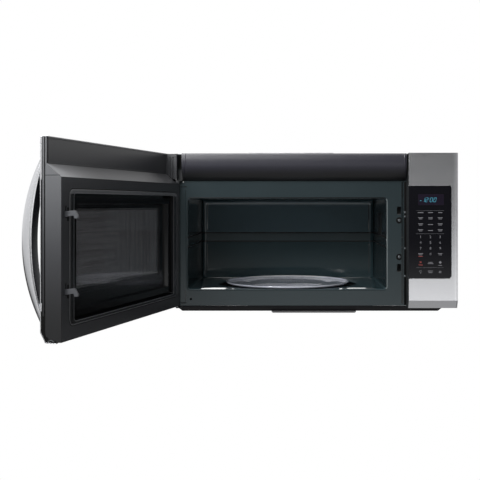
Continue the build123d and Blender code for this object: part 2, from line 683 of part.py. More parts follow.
DEFLECT_X0 = -HALF + DEFLECT_LEFT
DEFLECT_X1 = -HALF + DOOR_W
DEFLECT_CURVE = (
    (PLATE_V - DEFLECT_LIP, DEFLECT_LOW), (HEAD_T + DEFLECT_CLEAR[0], FRONT_H - DEFLECT_DROP[1]),
    (HEAD_T + DEFLECT_CLEAR[1], FRONT_H - DEFLECT_DROP[2]),
    (HEAD_T + DEFLECT_CLEAR[2], FRONT_H - DEFLECT_LIP),
)


def air_deflector():
    """Bowed gloss panel over the vent, with closed ends."""
    face_line = deflector_curve(0)
    back_line = deflector_curve(DEFLECT_T)
    closing = [Line(face_line @ 0, back_line @ 0), Line(face_line @ 1, back_line @ 1)]
    shell_face = make_face(Curve() + [face_line, back_line] + closing)
    shell = Pos(DEFLECT_X0, 0, 0) * extrude(Plane.YZ * shell_face, DEFLECT_X1 - DEFLECT_X0)
    corner_low = (PLATE_Y, (face_line @ 0).Y)
    corner_high = (PLATE_Y, (face_line @ 1).Y)
    closing = [
        Line(face_line @ 0, corner_low), Line(corner_low, corner_high), Line(corner_high, face_line @ 1)
    ]
    end_face = make_face(Curve() + [face_line] + closing)
    for x in (DEFLECT_X0, DEFLECT_X1 - WALL):
        shell += Pos(x, 0, 0) * extrude(Plane.YZ * end_face, WALL)
    return shell - slab(DEFLECT_X0, DEFLECT_X1, PLATE_Y, 0, FRONT_Z, BODY_TOP)


def top_grille():
    """Slotted outlet between the deflector and the front plate."""
    top = DEFLECT_CURVE[-1][1] + FRONT_Z
    front = DEFLECT_CURVE[-1][0] + DEFLECT_T + FRONT_Y
    x0 = DEFLECT_X0 + WALL
    x1 = DEFLECT_X1 - WALL
    grille = slab(x0, x1, front, PLATE_Y, top - GRILLE_T, top)
    pitch = (x1 - x0) / GRILLE_SLOTS
    slots = [
        slab(
            x0 + pitch * (index + GRILLE_BAR / 2), x0 + pitch * (index + 1 - GRILLE_BAR / 2),
            front + 2 * WALL, PLATE_Y - 2 * WALL, top - 2 * GRILLE_T, top + GRILLE_T,
        )
        for index in range(GRILLE_SLOTS)
    ]
    return grille - slots


CHARCOAL_T = 12.0


def charcoal_filter():
    """Odour filter behind the vent opening."""
    return slab(
        VENT_X[0] + BAY_MARGIN, VENT_X[1] - BAY_MARGIN, PLATE_BACK, PLATE_BACK + CHARCOAL_T,
        FRONT_Z + VENT_Z[0] - BAY_MARGIN, FRONT_Z + VENT_Z[1] + WALL,
    )


# ---- hinges -------------------------------------------------------------------------------
ARM_TIP = 6.0               # hinge arm's tip in front of the pin
ARM_FRONT = PIVOT_V - ARM_TIP
UPPER_ARM_Z = FRONT_Z + DEFLECT_LOW
LOWER_ARM_Z = FRONT_Z - BRACKET_T - 2 * RUN_GAP
BRACKET_X0 = -BODY_HALF


def hinge_bracket_upper():
    """Angle on the front plate's face, over the door's thick part."""
    x1 = BRACKET_X0 + BRACKET_W
    arm = slab(BRACKET_X0, x1, FRONT_Y + ARM_FRONT, PLATE_Y, UPPER_ARM_Z, UPPER_ARM_Z + BRACKET_T)
    leg = slab(BRACKET_X0, x1, PLATE_Y - BRACKET_T, PLATE_Y, UPPER_ARM_Z, UPPER_ARM_Z + BRACKET_LEG)
    return arm + leg - post(PIVOT_X, PIVOT_Y, UPPER_ARM_Z - SHEET, UPPER_ARM_Z + 2 * BRACKET_T, PIN_R)


def hinge_bracket_lower():
    """Angle behind the front plate, with its arm under the door."""
    x1 = BRACKET_X0 + BRACKET_W
    x0 = BRACKET_X0 + SHEET
    back = PLATE_BACK + BRACKET_T
    arm = slab(x0, x1, FRONT_Y + ARM_FRONT, back, LOWER_ARM_Z, LOWER_ARM_Z + BRACKET_T)
    leg = slab(x0, x1, PLATE_BACK, back, LOWER_ARM_Z, LOWER_ARM_Z + BRACKET_LEG)
    return arm + leg - post(PIVOT_X, PIVOT_Y, LOWER_ARM_Z - SHEET, LOWER_ARM_Z + 2 * BRACKET_T, PIN_R)


def hinge_pins():
    """Upper and lower pin, riveted in their arms."""
    upper = post(PIVOT_X, PIVOT_Y, UPPER_ARM_Z + BRACKET_T - PIN_L, UPPER_ARM_Z + BRACKET_T, PIN_R)
    lower = post(PIVOT_X, PIVOT_Y, LOWER_ARM_Z, LOWER_ARM_Z + PIN_L, PIN_R)
    return [upper, lower]


# ---- door ---------------------------------------------------------------------------------
PIVOT_NOTCH = SIDE_INSET + BRACKET_W + 5 * RUN_GAP      # ledge cut away round the upper hinge arm
NOTCH_Z = DEFLECT_LOW - 2 * RUN_GAP
SKIN_UNDER = 30.0           # how far the skin returns under the door


def front_profile(inset, depth, top):
    """Front outline with its sloped lower edge, moved in by a skin's thickness."""
    slope = inset * CHAMFER_RUN / CHAMFER_RISE
    return [
        (inset, CHAMFER_RISE + slope), (CHAMFER_RUN + slope, inset), (depth, inset), (depth, top - inset),
        (inset, top - inset),
    ]


def glass_place(x0, x1, t):
    """The flush glass of the door or of the control panel."""
    return slab(x0, x1, FRONT_Y, FRONT_Y + t, FRONT_Z + GLASS_LOW, FRONT_Z + GLASS_HIGH)


def round_glass(glass, outer):
    """Round the two upright corners at the outer end of a glass; outer is -1 at the left, 1 at the right."""
    edges = glass.edges().filter_by(Axis.Y).sort_by(Axis.X)
    pair = edges[:2] if outer < 0 else edges[2:]
    pair = pair.sort_by(Axis.Z)
    glass = fillet(pair[0], GLASS_LOW_R)
    high = glass.edges().filter_by(Axis.Y).sort_by(Axis.Z)[-2:].sort_by(Axis.X)
    return fillet(high[0] if outer < 0 else high[-1], GLASS_TOP_R)


def door_glass():
    """Black glass, flush in the skin, run out to the door's free edge."""
    return round_glass(glass_place(-HALF + GLASS_BORDER, -HALF + DOOR_W, DOOR_GLASS_T), -1)


def free_end_room():
    """The part of the door's free end that the skin's return leaves to the frame."""
    return side_prism(-HALF + DOOR_W - 2 * SKIN, -HALF + DOOR_W + SKIN, [
        (SKIN_RETURN, CHAMFER_RISE), (SKIN_UNDER + SKIN, SKIN), (DOOR_T + SKIN, SKIN),
        (DOOR_T + SKIN, FRONT_H - SKIN), (SKIN_RETURN, FRONT_H - SKIN),
    ])


def door_skin():
    """Stainless skin, folded back at the top, the hinge edge, the sloped foot and the free edge."""
    outer = side_prism(-HALF, -HALF + DOOR_W, front_profile(0, HEAD_T, FRONT_H))
    outer += side_prism(-HALF, -HALF + DOOR_W, [
        (CHAMFER_RUN, 0), (SKIN_UNDER, 0), (SKIN_UNDER, SKIN), (CHAMFER_RUN, SKIN),
    ])
    inner = side_prism(-HALF + SKIN, -HALF + DOOR_W - SKIN, front_profile(SKIN, HEAD_T + WALL, FRONT_H))
    skin = outer - inner - free_end_room()
    place = glass_place(-HALF + GLASS_BORDER - SEAT_GAP, -HALF + DOOR_W + SKIN, SKIN_UNDER)
    return skin - round_glass(place, -1)


def frame_outline(inset):
    """Side outline of the door frame: thin at the top, a sloping ledge, thick below."""
    slope = inset * CHAMFER_RUN / CHAMFER_RISE
    return [
        (SKIN + inset, CHAMFER_RISE + SKIN + 2 * inset), (CHAMFER_RUN + slope + inset, FRAME_FOOT + inset),
        (FRAME_V - inset, FRAME_FOOT + inset), (FRAME_V - inset, LEDGE_LOW - inset / 2),
        (HEAD_T - inset, LEDGE_HIGH - inset / 2), (HEAD_T - inset, FRONT_H - SKIN - inset),
        (SKIN + inset, FRONT_H - SKIN - inset),
    ]


CARRIER_SIDE = 16.0         # opening in the glass carrier, beyond the see-through window
CARRIER_END = 10.0
SLOT_GROW = 4.0
BOSS_R = 6.5
BOSS_L = BUSH_L + 3.0


def frame_opening(grow, v0, v1):
    """The opening that the choke cover drops into, grown all round."""
    return door_slab(
        RING_HINGE[0] + RING_LAP - grow, RING_FREE[0] - RING_LAP + grow, v0, v1,
        RING_FOOT[0] + RING_LAP - grow, RING_HEAD[0] - RING_LAP + grow,
    )


def bush_place(upper):
    """Lower and upper end of the bush on a hinge pin."""
    if upper:
        top = UPPER_ARM_Z - 2 * RUN_GAP
        return top - BUSH_L, top
    foot = FRONT_Z + FRAME_FOOT
    return foot, foot + BUSH_L


CAP_W = DEFLECT_LEFT - WALL             # end cap over the upper hinge arm, beside the deflector
CAP_V = PIVOT_V + 4.0
CAP_FOOT = NOTCH_Z + BRACKET_T + 3.1
CAP_CUT = 7.5                           # its rear corner is cut back to swing clear of the bracket


def cap_block(inset, foot, head):
    """Upright block at the hinge end of the door's thin part."""
    u0 = SKIN + inset
    u1 = CAP_W - inset
    v0 = HEAD_T - WALL + inset
    v1 = CAP_V - inset
    cut = inset / 2
    corners = [
        (u0, v0), (u1, v0), (u1, v1), (PIVOT_U + cut, v1), (u0, PIVOT_V - CAP_CUT - cut),
    ]
    outline = Polyline(*[(u - HALF, v + FRONT_Y) for u, v in corners], close=True)
    return Pos(0, 0, FRONT_Z + foot) * extrude(make_face(outline), head - foot)


def door_frame():
    """Moulded frame that carries the glass, the choke parts, the key and the hinge bushes."""
    x0 = -HALF + SKIN
    x1 = -HALF + DOOR_W
    frame = side_prism(x0, x1, frame_outline(0))
    back_edge = frame.edges().filter_by(Axis.Z).group_by(Axis.X)[0].sort_by(Axis.Y)[-1]
    frame = fillet(back_edge, HINGE_EDGE_R - SKIN)
    hollow = side_prism(x0 + WALL, x1 - WALL, frame_outline(WALL))
    carrier = side_prism(x0, x1, [
        (DOOR_GLASS_T, CHAMFER_RISE), (HATCH_V, CHAMFER_RISE), (HATCH_V, FRONT_H - SKIN),
        (DOOR_GLASS_T, FRONT_H - SKIN),
    ])
    carrier -= door_slab(
        SCREEN_HINGE - CARRIER_SIDE, SCREEN_FREE + CARRIER_SIDE, 0, 2 * HATCH_V,
        SCREEN_FOOT - CARRIER_END, SCREEN_HEAD + CARRIER_END,
    )
    front_room = side_prism(x0 + WALL, x1 - WALL, [
        (0, CHAMFER_RISE + WALL), (DOOR_GLASS_T, CHAMFER_RISE + WALL),
        (DOOR_GLASS_T, FRONT_H - SKIN - WALL), (0, FRONT_H - SKIN - WALL),
    ])
    frame = frame - (hollow - carrier) - front_room
    rim = frame_opening(WALL, CHOKE_BASE, FRAME_V) - frame_opening(0, 0, DOOR_T)
    frame = frame + rim - frame_opening(0, CHOKE_BASE, DOOR_T)
    frame -= glass_place(x0 + GLASS_BORDER - SKIN - SEAT_GAP, x1 + SKIN, DOOR_GLASS_T)
    frame -= door_slab(DOOR_W - SKIN, DOOR_W + SKIN, 0, DOOR_T + SKIN, 0, FRONT_H) - free_end_room()
    frame -= door_slab(-SKIN, PIVOT_NOTCH, HEAD_T, DOOR_T, NOTCH_Z, FRONT_H)
    frame += cap_block(0, CAP_FOOT, FRONT_H - SKIN) - cap_block(WALL, CAP_FOOT, FRONT_H - SKIN - WALL)
    for low in SLOT_LOW:
        frame -= door_slab(
            KEY_U - SLOT_W / 2, KEY_U + SLOT_W / 2, FRAME_V - 2 * WALL, DOOR_T, low, low + SLOT_H + SLOT_GROW
        )
    for upper in (False, True):
        low, high = bush_place(upper)
        shelf = (low, high + WALL) if not upper else (low - WALL, high)
        frame += post(PIVOT_X, PIVOT_Y, *shelf, BOSS_R)
        frame -= post(PIVOT_X, PIVOT_Y, low - 2 * WALL, high + 2 * WALL, PIN_R + 2 * PIN_FIT)
        frame -= post(PIVOT_X, PIVOT_Y, low - (0 if upper else WALL), high + (WALL if upper else 0), BUSH_R)
    return frame


def hinge_bushes():
    """Nylon bushes in the door frame, running on the pins."""
    bushes = []
    for upper in (False, True):
        low, high = bush_place(upper)
        bush = post(PIVOT_X, PIVOT_Y, low, high, BUSH_R)
        bushes.append(bush - post(PIVOT_X, PIVOT_Y, low - WALL, high + WALL, PIN_R + PIN_FIT))
    return bushes


def ring_block(outer, v0, v1):
    """The choke cover's outer or inner outline as a block with rounded corners."""
    side = 0 if outer else 1
    x0 = -HALF + RING_HINGE[side]
    x1 = -HALF + RING_FREE[side]
    return round_plate(
        x0, x1, FRONT_Y + v0, FRONT_Y + v1, FRONT_Z + RING_FOOT[side], FRONT_Z + RING_HEAD[side],
        RING_R if outer else RING_R / 2,
    )


def choke_cover():
    """Moulded ring over the choke slot, with a skirt down to the choke panel."""
    face = ring_block(True, FRAME_V, DOOR_T) - ring_block(False, 0, 2 * DOOR_T)
    skirt = frame_opening(-SEAT_GAP, CHOKE_BASE, FRAME_V)
    return face + (skirt - frame_opening(-SEAT_GAP - WALL, 0, 2 * DOOR_T))


def hat_block(inset, v0, v1, slope):
    """A block inside the choke cover, smaller by inset, with its front shrunk or grown by slope."""
    size = (
        -HALF + RING_HINGE[1] + inset, -HALF + RING_FREE[1] - inset,
        FRONT_Z + RING_FOOT[1] + inset, FRONT_Z + RING_HEAD[1] - inset,
    )
    faces = []
    for v, grow in ((v0, 0), (v1, slope)):
        x0, x1, z0, z1 = size
        middle = ((x0 + x1) / 2, FRONT_Y + v, (z0 + z1) / 2)
        plane = Plane(origin=middle, x_dir=(1, 0, 0), z_dir=(0, -1, 0))
        faces.append(plane * Rectangle(x1 - x0 + 2 * grow, z1 - z0 + 2 * grow))
    return loft(faces)


def choke_panel():
    """Stamped steel panel: seat flange, raised hat and the window opening."""
    seat = CHOKE_BASE
    past = HAT_TOP + SHEET
    inside = CHOKE_SLOT + HAT_W + HAT_SLOPE
    plate = frame_opening(2 * WALL, seat - CHOKE_SHEET, seat)
    hat = hat_block(CHOKE_SLOT, seat, HAT_TOP, 0) - hat_block(inside, seat - SHEET, past, HAT_SLOPE)
    room = hat_block(CHOKE_SLOT + CHOKE_SHEET, seat - 2 * SHEET, HAT_TOP - CHOKE_SHEET, 0)
    core = hat_block(inside - CHOKE_SHEET, seat - 3 * SHEET, past, HAT_SLOPE)
    panel = plate + hat - (room - core)
    return panel - door_slab(SCREEN_HINGE, SCREEN_FREE, 0, DOOR_T, SCREEN_FOOT, SCREEN_HEAD)


def perforated_screen():
    """Fine perforated sheet behind the window opening; its holes are far too small to model."""
    base = CHOKE_BASE - CHOKE_SHEET
    return door_slab(
        SCREEN_HINGE - WINDOW_LAP, SCREEN_FREE + WINDOW_LAP, base - SCREEN_T, base,
        SCREEN_FOOT - WINDOW_LAP, SCREEN_HEAD + WINDOW_LAP,
    )


def inner_window():
    """Clear film on the oven side of the window opening."""
    return door_slab(
        SCREEN_HINGE - WINDOW_LAP, SCREEN_FREE + WINDOW_LAP, CHOKE_BASE, CHOKE_BASE + WINDOW_T,
        SCREEN_FOOT - WINDOW_LAP, SCREEN_HEAD + WINDOW_LAP,
    )


KEY_BAR_T = 7.0
KEY_TAIL = 8.0              # bar below the lower hook and above the upper one
KEY_HEAD = 26.0
GUIDE_T = 2.0
KEY_BACK = FRAME_V - WALL - RUN_GAP
KEY_BAR_V = KEY_BACK - KEY_BAR_T
KEY_ENDS = (HOOK_FOOT[0] - KEY_TAIL, HOOK_FOOT[1] + KEY_HEAD)


def door_key():
    """Sliding bar with the two latch hooks."""
    bar = door_slab(KEY_U - KEY_W / 2, KEY_U + KEY_W / 2, KEY_BAR_V, KEY_BACK, *KEY_ENDS)
    tip = FRAME_V + HOOK_REACH
    root = KEY_BACK - SHEET
    for foot in HOOK_FOOT:
        top = foot + HOOK_BASE_H
        hook = [
            (root, foot), (PLATE_V + SHEET, foot + SHEET), (tip - HOOK_HEAD, foot + SHEET + HOOK_RAKE),
            (tip - HOOK_BARB, foot - HOOK_NOSE), (tip - SHEET, foot - HOOK_NOSE), (tip, foot + HOOK_NOSE),
            (tip - HOOK_BROW, top + HOOK_NOSE), (root, top),
        ]
        bar += side_prism(KEY_X - KEY_W / 2, KEY_X + KEY_W / 2, hook)
    return bar


SPRING_ROOM = 18.0
SPRING_WIRE = 0.5
SPRING_TURNS = 8


def key_guide():
    """Channel in the door that the key slides in, with the spring's stop at its head."""
    low, high = KEY_ENDS
    stop = high + SPRING_ROOM
    outside = door_slab(
        KEY_U - KEY_W / 2 - GUIDE_T - RUN_GAP, KEY_U + KEY_W / 2 + GUIDE_T + RUN_GAP,
        KEY_BAR_V - GUIDE_T - RUN_GAP, FRAME_V - WALL, low - GUIDE_T, stop + GUIDE_T,
    )
    room = door_slab(
        KEY_U - KEY_W / 2 - RUN_GAP, KEY_U + KEY_W / 2 + RUN_GAP, KEY_BAR_V - RUN_GAP, DOOR_T, low, stop
    )
    return outside - room


def key_spring():
    """Coil spring between the key's head and its stop."""
    high = KEY_ENDS[1]
    radius = KEY_W / 2 - SPRING_WIRE
    y = FRONT_Y + (KEY_BAR_V + KEY_BACK) / 2
    length = SPRING_ROOM - 2 * SPRING_WIRE - 2 * RUN_GAP
    helix = Helix(length / SPRING_TURNS, length, radius)
    start = Plane(origin=helix @ 0, z_dir=helix % 0)
    coil = sweep(start * Circle(SPRING_WIRE), path=helix, is_frenet=True)
    return Pos(KEY_X, y, FRONT_Z + high + SPRING_WIRE + RUN_GAP) * coil


def handle():
    """Bowed bar handle: two arcs that meet the door near its foot and head."""
    middle = (HANDLE_FOOT + HANDLE_HEAD) / 2
    arcs = [
        ThreePointArc((0, HANDLE_FOOT), (-HANDLE_BOW, middle), (0, HANDLE_HEAD)),
        Line((0, HANDLE_HEAD), (0, HANDLE_HOLD_HEAD)),
        ThreePointArc((0, HANDLE_HOLD_HEAD), (-HANDLE_CLEAR, middle), (0, HANDLE_HOLD_FOOT)),
        Line((0, HANDLE_HOLD_FOOT), (0, HANDLE_FOOT)),
    ]
    bow = extrude(Plane.YZ * make_face(Curve() + arcs), HANDLE_W)
    arcs = bow.edges().filter_by(GeomType.CIRCLE).sort_by(lambda edge: (edge @ 0.5).Y)
    inside = arcs[-1].radius
    bow = fillet(arcs[:2], HANDLE_ROUND)
    inner = [edge for edge in bow.edges().filter_by(GeomType.CIRCLE) if abs(edge.radius - inside) < SHEET]
    bow = fillet(inner, HANDLE_ROUND_IN)
    x0 = -HALF + DOOR_W - HANDLE_INSET - HANDLE_W / 2
    return Pos(x0, FRONT_Y, FRONT_Z) * bow


# ---- control panel ------------------------------------------------------------------------
FASCIA_SHORT = 2.5          # fascia's rear edges before the front plate
DISPLAY_INSET = (24.7, 37.5)            # display's place from the panel's left and right edges
DISPLAY_DROP = (139.1, 110.2)           # and its foot and head under the upper edge
MEMBRANE_INSET = (12.9, 29.5)
MEMBRANE_RISE = 6.3
MEMBRANE_DROP = 152.0
MEMBRANE_T = 0.4
FRONT_WALL = 6.0
BOARD_V = 13.0
BOARD_T = 1.6
BOARD_INSET = (8.9, 11.5)
BOARD_RISE = 92.0
BOARD_DROP = 96.0
BOSS_INSET = 6.0
PANEL_DEPTH = PLATE_V - FASCIA_SHORT
DISPLAY = (
    PANEL_X0 + DISPLAY_INSET[0], HALF - DISPLAY_INSET[1],
    FRONT_H - DISPLAY_DROP[0], FRONT_H - DISPLAY_DROP[1],
)
MEMBRANE = (
    PANEL_X0 + MEMBRANE_INSET[0], HALF - MEMBRANE_INSET[1],
    GLASS_LOW + MEMBRANE_RISE, FRONT_H - MEMBRANE_DROP,
)
BOARD = (PANEL_X0 + BOARD_INSET[0], HALF - BOARD_INSET[1], BOARD_RISE, FRONT_H - BOARD_DROP)


def panel_glass():
    """Black touch glass, flush in the fascia, with the display's place left open."""
    glass = round_glass(glass_place(PANEL_X0, HALF - GLASS_BORDER, PANEL_GLASS_T), 1)
    x0, x1, low, high = DISPLAY
    return glass - slab(x0, x1, FRONT_Y - SKIN, FRONT_Y + 2 * PANEL_GLASS_T, FRONT_Z + low, FRONT_Z + high)


def display_window():
    """Smoked lens in the glass."""
    x0, x1, low, high = DISPLAY
    gap = SEAT_GAP / 2
    return slab(
        x0 + gap, x1 - gap, FRONT_Y + gap, FRONT_Y + PANEL_GLASS_T, FRONT_Z + low + gap, FRONT_Z + high - gap
    )


def control_fascia():
    """Stainless fascia, folded back at the top, the right side and the sloped foot."""
    outer = side_prism(PANEL_X0, HALF, front_profile(0, PANEL_DEPTH, FRONT_H))
    inner = side_prism(PANEL_X0 - SKIN, HALF - SKIN, front_profile(SKIN, PANEL_DEPTH + WALL, FRONT_H))
    place = glass_place(PANEL_X0 - SKIN, HALF - GLASS_BORDER + SEAT_GAP, PANEL_GLASS_T)
    return outer - inner - round_glass(place, 1)


def control_housing():
    """Moulded box behind the fascia, fixed to the front plate."""
    box = side_prism(PANEL_X0, HALF - SKIN, front_profile(SKIN, PLATE_V, FRONT_H))
    room = slab(
        PANEL_X0 + WALL, HALF - SKIN - WALL, FRONT_Y + FRONT_WALL, PLATE_Y + SHEET,
        FRONT_Z + CHAMFER_RISE + WALL, FRONT_Z + FRONT_H - SKIN - WALL,
    )
    box -= room
    box -= round_glass(glass_place(PANEL_X0 - SKIN, HALF - GLASS_BORDER + SEAT_GAP, PANEL_GLASS_T), 1)
    x0, x1, low, high = MEMBRANE
    box -= slab(x0, x1, FRONT_Y, FRONT_Y + PANEL_GLASS_T + MEMBRANE_T, FRONT_Z + low, FRONT_Z + high)
    x0, x1, low, high = DISPLAY
    box -= slab(
        x0 + SHEET, x1 - SHEET, FRONT_Y, FRONT_Y + 2 * FRONT_WALL,
        FRONT_Z + low + SHEET, FRONT_Z + high - SHEET,
    )
    x0, x1, low, high = BOARD
    for x in (x0 + BOSS_INSET, x1 - BOSS_INSET):
        for z in (low + BOSS_INSET, high - BOSS_INSET):
            box += rod_y(x, FRONT_Y + FRONT_WALL, FRONT_Y + BOARD_V, FRONT_Z + z, BUSH_R)
    return box


def keypad_membrane():
    """Touch sensor film behind the glass."""
    x0, x1, low, high = MEMBRANE
    base = FRONT_Y + PANEL_GLASS_T
    return slab(x0, x1, base, base + MEMBRANE_T, FRONT_Z + low, FRONT_Z + high)


def control_board():
    """Populated circuit board on the housing's bosses."""
    x0, x1, low, high = BOARD
    base = FRONT_Y + BOARD_V
    board = slab(x0, x1, base, base + BOARD_T, FRONT_Z + low, FRONT_Z + high)
    return board + display_module() + board_relays()


def display_module():
    """Digit display on the board, behind the lens."""
    x0, x1, low, high = DISPLAY
    return slab(
        x0 + 2 * SHEET, x1 - 2 * SHEET, FRONT_Y + PANEL_GLASS_T + SEAT_GAP, FRONT_Y + BOARD_V,
        FRONT_Z + low + 2 * SHEET, FRONT_Z + high - 2 * SHEET,
    )


RELAY = (16.0, 18.0, 28.0)
RELAY_COUNT = 4
RELAY_PITCH = 36.0
SUPPLY = (40.0, 27.0, 42.0)             # the board's own small transformer


def board_relays():
    """Relays and the small transformer on the back of the board."""
    wide, deep, tall = RELAY
    base = FRONT_Y + BOARD_V + BOARD_T
    x0 = BOARD[0] + 2 * BUSH_R
    low = FRONT_Z + BOARD[2] + 2 * BOSS_INSET
    relays = []
    for index in range(RELAY_COUNT):
        z = low + RELAY_PITCH * index
        relays.append(slab(x0, x0 + wide, base, base + deep, z, z + tall))
    x1 = BOARD[1] - 2 * BOSS_INSET
    wide, deep, tall = SUPPLY
    relays.append(slab(x1 - wide, x1, base, base + deep, low, low + tall))
    return relays


# ---- latch --------------------------------------------------------------------------------
LATCH_SIDE = (23.0, 14.0)   # channel's sides from the door key's middle
LATCH_FOOT = 80.0           # its foot above the lower edge, and its head under the upper edge
LATCH_DROP = 130.0
LATCH_D = 42.0
LATCH_T = 2.0
LATCH_LEDGE = 13.5          # depth of the ledges
LEDGE_T = 8.0
SCREW_PAD = 6.0
LATCH_X = (KEY_X - LATCH_SIDE[0], KEY_X + LATCH_SIDE[1])
LATCH_Z = (LATCH_FOOT, FRONT_H - LATCH_DROP)


def latch_board():
    """Moulded channel behind the front plate, with the two ledges that the hooks catch."""
    y1 = PLATE_BACK + LATCH_D
    board = slab(*LATCH_X, PLATE_BACK, y1, FRONT_Z + LATCH_Z[0], FRONT_Z + LATCH_Z[1])
    x0, x1 = LATCH_X
    board -= slab(
        x0 + LATCH_T, x1 - LATCH_T, PLATE_BACK - SHEET, y1 - LATCH_T,
        FRONT_Z + LATCH_Z[0] + LATCH_T, FRONT_Z + LATCH_Z[1] - LATCH_T,
    )
    for foot in HOOK_FOOT:
        z = FRONT_Z + foot
        board += slab(x0, x1, PLATE_BACK, PLATE_BACK + LATCH_LEDGE, z - LEDGE_T, z + RUN_GAP)
    for low in SCREW_Z:
        z = FRONT_Z + low
        board += slab(x0, x1, PLATE_BACK, PLATE_BACK + SCREW_PAD, z - SCREW_PAD, z + SCREW_PAD)
        board -= rod_y(SCREW_X, PLATE_BACK - SHEET, PLATE_BACK + SCREW_IN, z, SCREW_R)
    return board


SWITCH = (10.0, 28.0, 16.0)
SWITCH_RISE = (20.0, 50.0)  # two switches above the channel's foot
SWITCH_DROP = 36.0          # one under its head


def door_switches():
    """Three interlock switches on the latch board."""
    wide, deep, tall = SWITCH
    x0 = LATCH_X[1]
    y0 = PLATE_BACK + LATCH_D - deep
    switches = []
    lows = [LATCH_Z[0] + rise for rise in SWITCH_RISE] + [LATCH_Z[1] - SWITCH_DROP]
    for low in lows:
        z = FRONT_Z + low
        switches.append(slab(x0, x0 + wide, y0, y0 + deep, z, z + tall))
    return switches


# ---- power and air ------------------------------------------------------------------------
DECK_RISE = 15.0            # component deck over the base pan's flange, room for the intake air
DECK_T = 1.2
DECK_Z = FRONT_Z + PAN_T + DECK_RISE
FLOOR_Z = DECK_Z + DECK_T
BAY_X = (OVEN_X1 + SHEET + BODY_HALF - SHEET) / 2
CORE = (84.0, 92.0, 70.0)           # transformer core: wide, deep, tall
COIL = (64.0, 124.0, 42.0)
FOOT = (104.0, 100.0, 2.0)
CORE_BACK = 10.0            # core, can and diode behind the oven's middle
CAN = (100.0, 34.0, 52.0)
CAN_BACK = 120.0
CAN_R = 16.0
TAB = (8.0, 6.0, 1.0)
DIODE_R = 4.0
DIODE_L = 28.0
DIODE_BACK = 150.0
CORE_Y = OVEN_Y + CORE_BACK
CAN_Y = OVEN_Y + CAN_BACK
DIODE_Y = OVEN_Y + DIODE_BACK


def component_deck():
    """Raised sheet under the electrical parts, standing on the base pan's flange."""
    x0 = OVEN_X1 + 2 * SHEET
    x1 = BODY_HALF - SHEET
    foot = FRONT_Z + PAN_T
    deck = slab(x0, x1, PAN_FRONT, -SHEET, DECK_Z, FLOOR_Z)
    deck += slab(x0, x1, PAN_FRONT, PAN_FRONT + DECK_T, foot, FLOOR_Z)
    return deck + slab(x0, x1, -SHEET - DECK_T, -SHEET, foot, FLOOR_Z)


def centred(size, y, low):
    """A box of the component bay, centred across it, standing at a height."""
    wide, deep, tall = size
    return slab(BAY_X - wide / 2, BAY_X + wide / 2, y - deep / 2, y + deep / 2, low, low + tall)


def transformer():
    """High voltage transformer: foot, core and windings."""
    core_low = FLOOR_Z + FOOT[2]
    coil_low = core_low + (CORE[2] - COIL[2]) / 2
    return centred(FOOT, CORE_Y, FLOOR_Z) + centred(CORE, CORE_Y, core_low) + centred(COIL, CORE_Y, coil_low)


def capacitor():
    """Oval high voltage capacitor with its two tabs."""
    can = fillet(centred(CAN, CAN_Y, FLOOR_Z).edges().filter_by(Axis.Z), CAN_R)
    x1 = BAY_X + CAN[0] / 2
    middle = FLOOR_Z + CAN[2] / 2
    long, wide, thick = TAB
    for side in (-1, 1):
        y = CAN_Y + side * wide
        can += slab(x1 - thick, x1 + long, y - wide / 2, y + wide / 2, middle, middle + thick)
    return can


def diode():
    """High voltage diode with its earthing tag."""
    x1 = BAY_X + DIODE_L / 2
    body = rod_x(x1 - DIODE_L, x1, DIODE_Y, FLOOR_Z + DIODE_R, DIODE_R)
    return body + slab(x1, x1 + TAB[0], DIODE_Y - DIODE_R, DIODE_Y + DIODE_R, FLOOR_Z, FLOOR_Z + DIODE_R)


NOISE_BOARD = (90.0, 2.0, 70.0)
NOISE_CHOKE = (30.0, 26.0, 35.0)
NOISE_DROP = 40.0           # board's upper edge under the top
CHOKE_DROP = 60.0


def noise_board():
    """Mains filter board with its choke, on the back plate."""
    wide, deep, tall = NOISE_BOARD
    top = BODY_TOP - NOISE_DROP
    plate = slab(CORD_X - wide / 2, CORD_X + wide / 2, -SHEET - deep, -SHEET, top - tall, top)
    wide, thick, tall = NOISE_CHOKE
    top = BODY_TOP - CHOKE_DROP
    return plate + slab(
        CORD_X - wide / 2, CORD_X + wide / 2, -SHEET - deep - thick, -SHEET - deep, top - tall, top
    )


FAN_RISE = 200.0            # fan's middle above the front's lower edge
FAN_R = 52.0
FAN_PLATE_Y = -60.0
FAN_SHAFT_R = 2.0
FAN_SHAFT_IN = 12.0
FAN_BULKHEAD = 90.0
FAN_TIP_GAP = 3.0
FAN_STRAP_OUT = 20.0
FAN_MOTOR = 40.0
FAN_MOTOR_L = 18.0
FAN_HUB_R = 11.0
FAN_PITCH = 32.0
FAN_CHORD = 22.0
FAN_BLADES = 5
FAN_X = BAY_X
FAN_Z = FRONT_Z + FAN_RISE


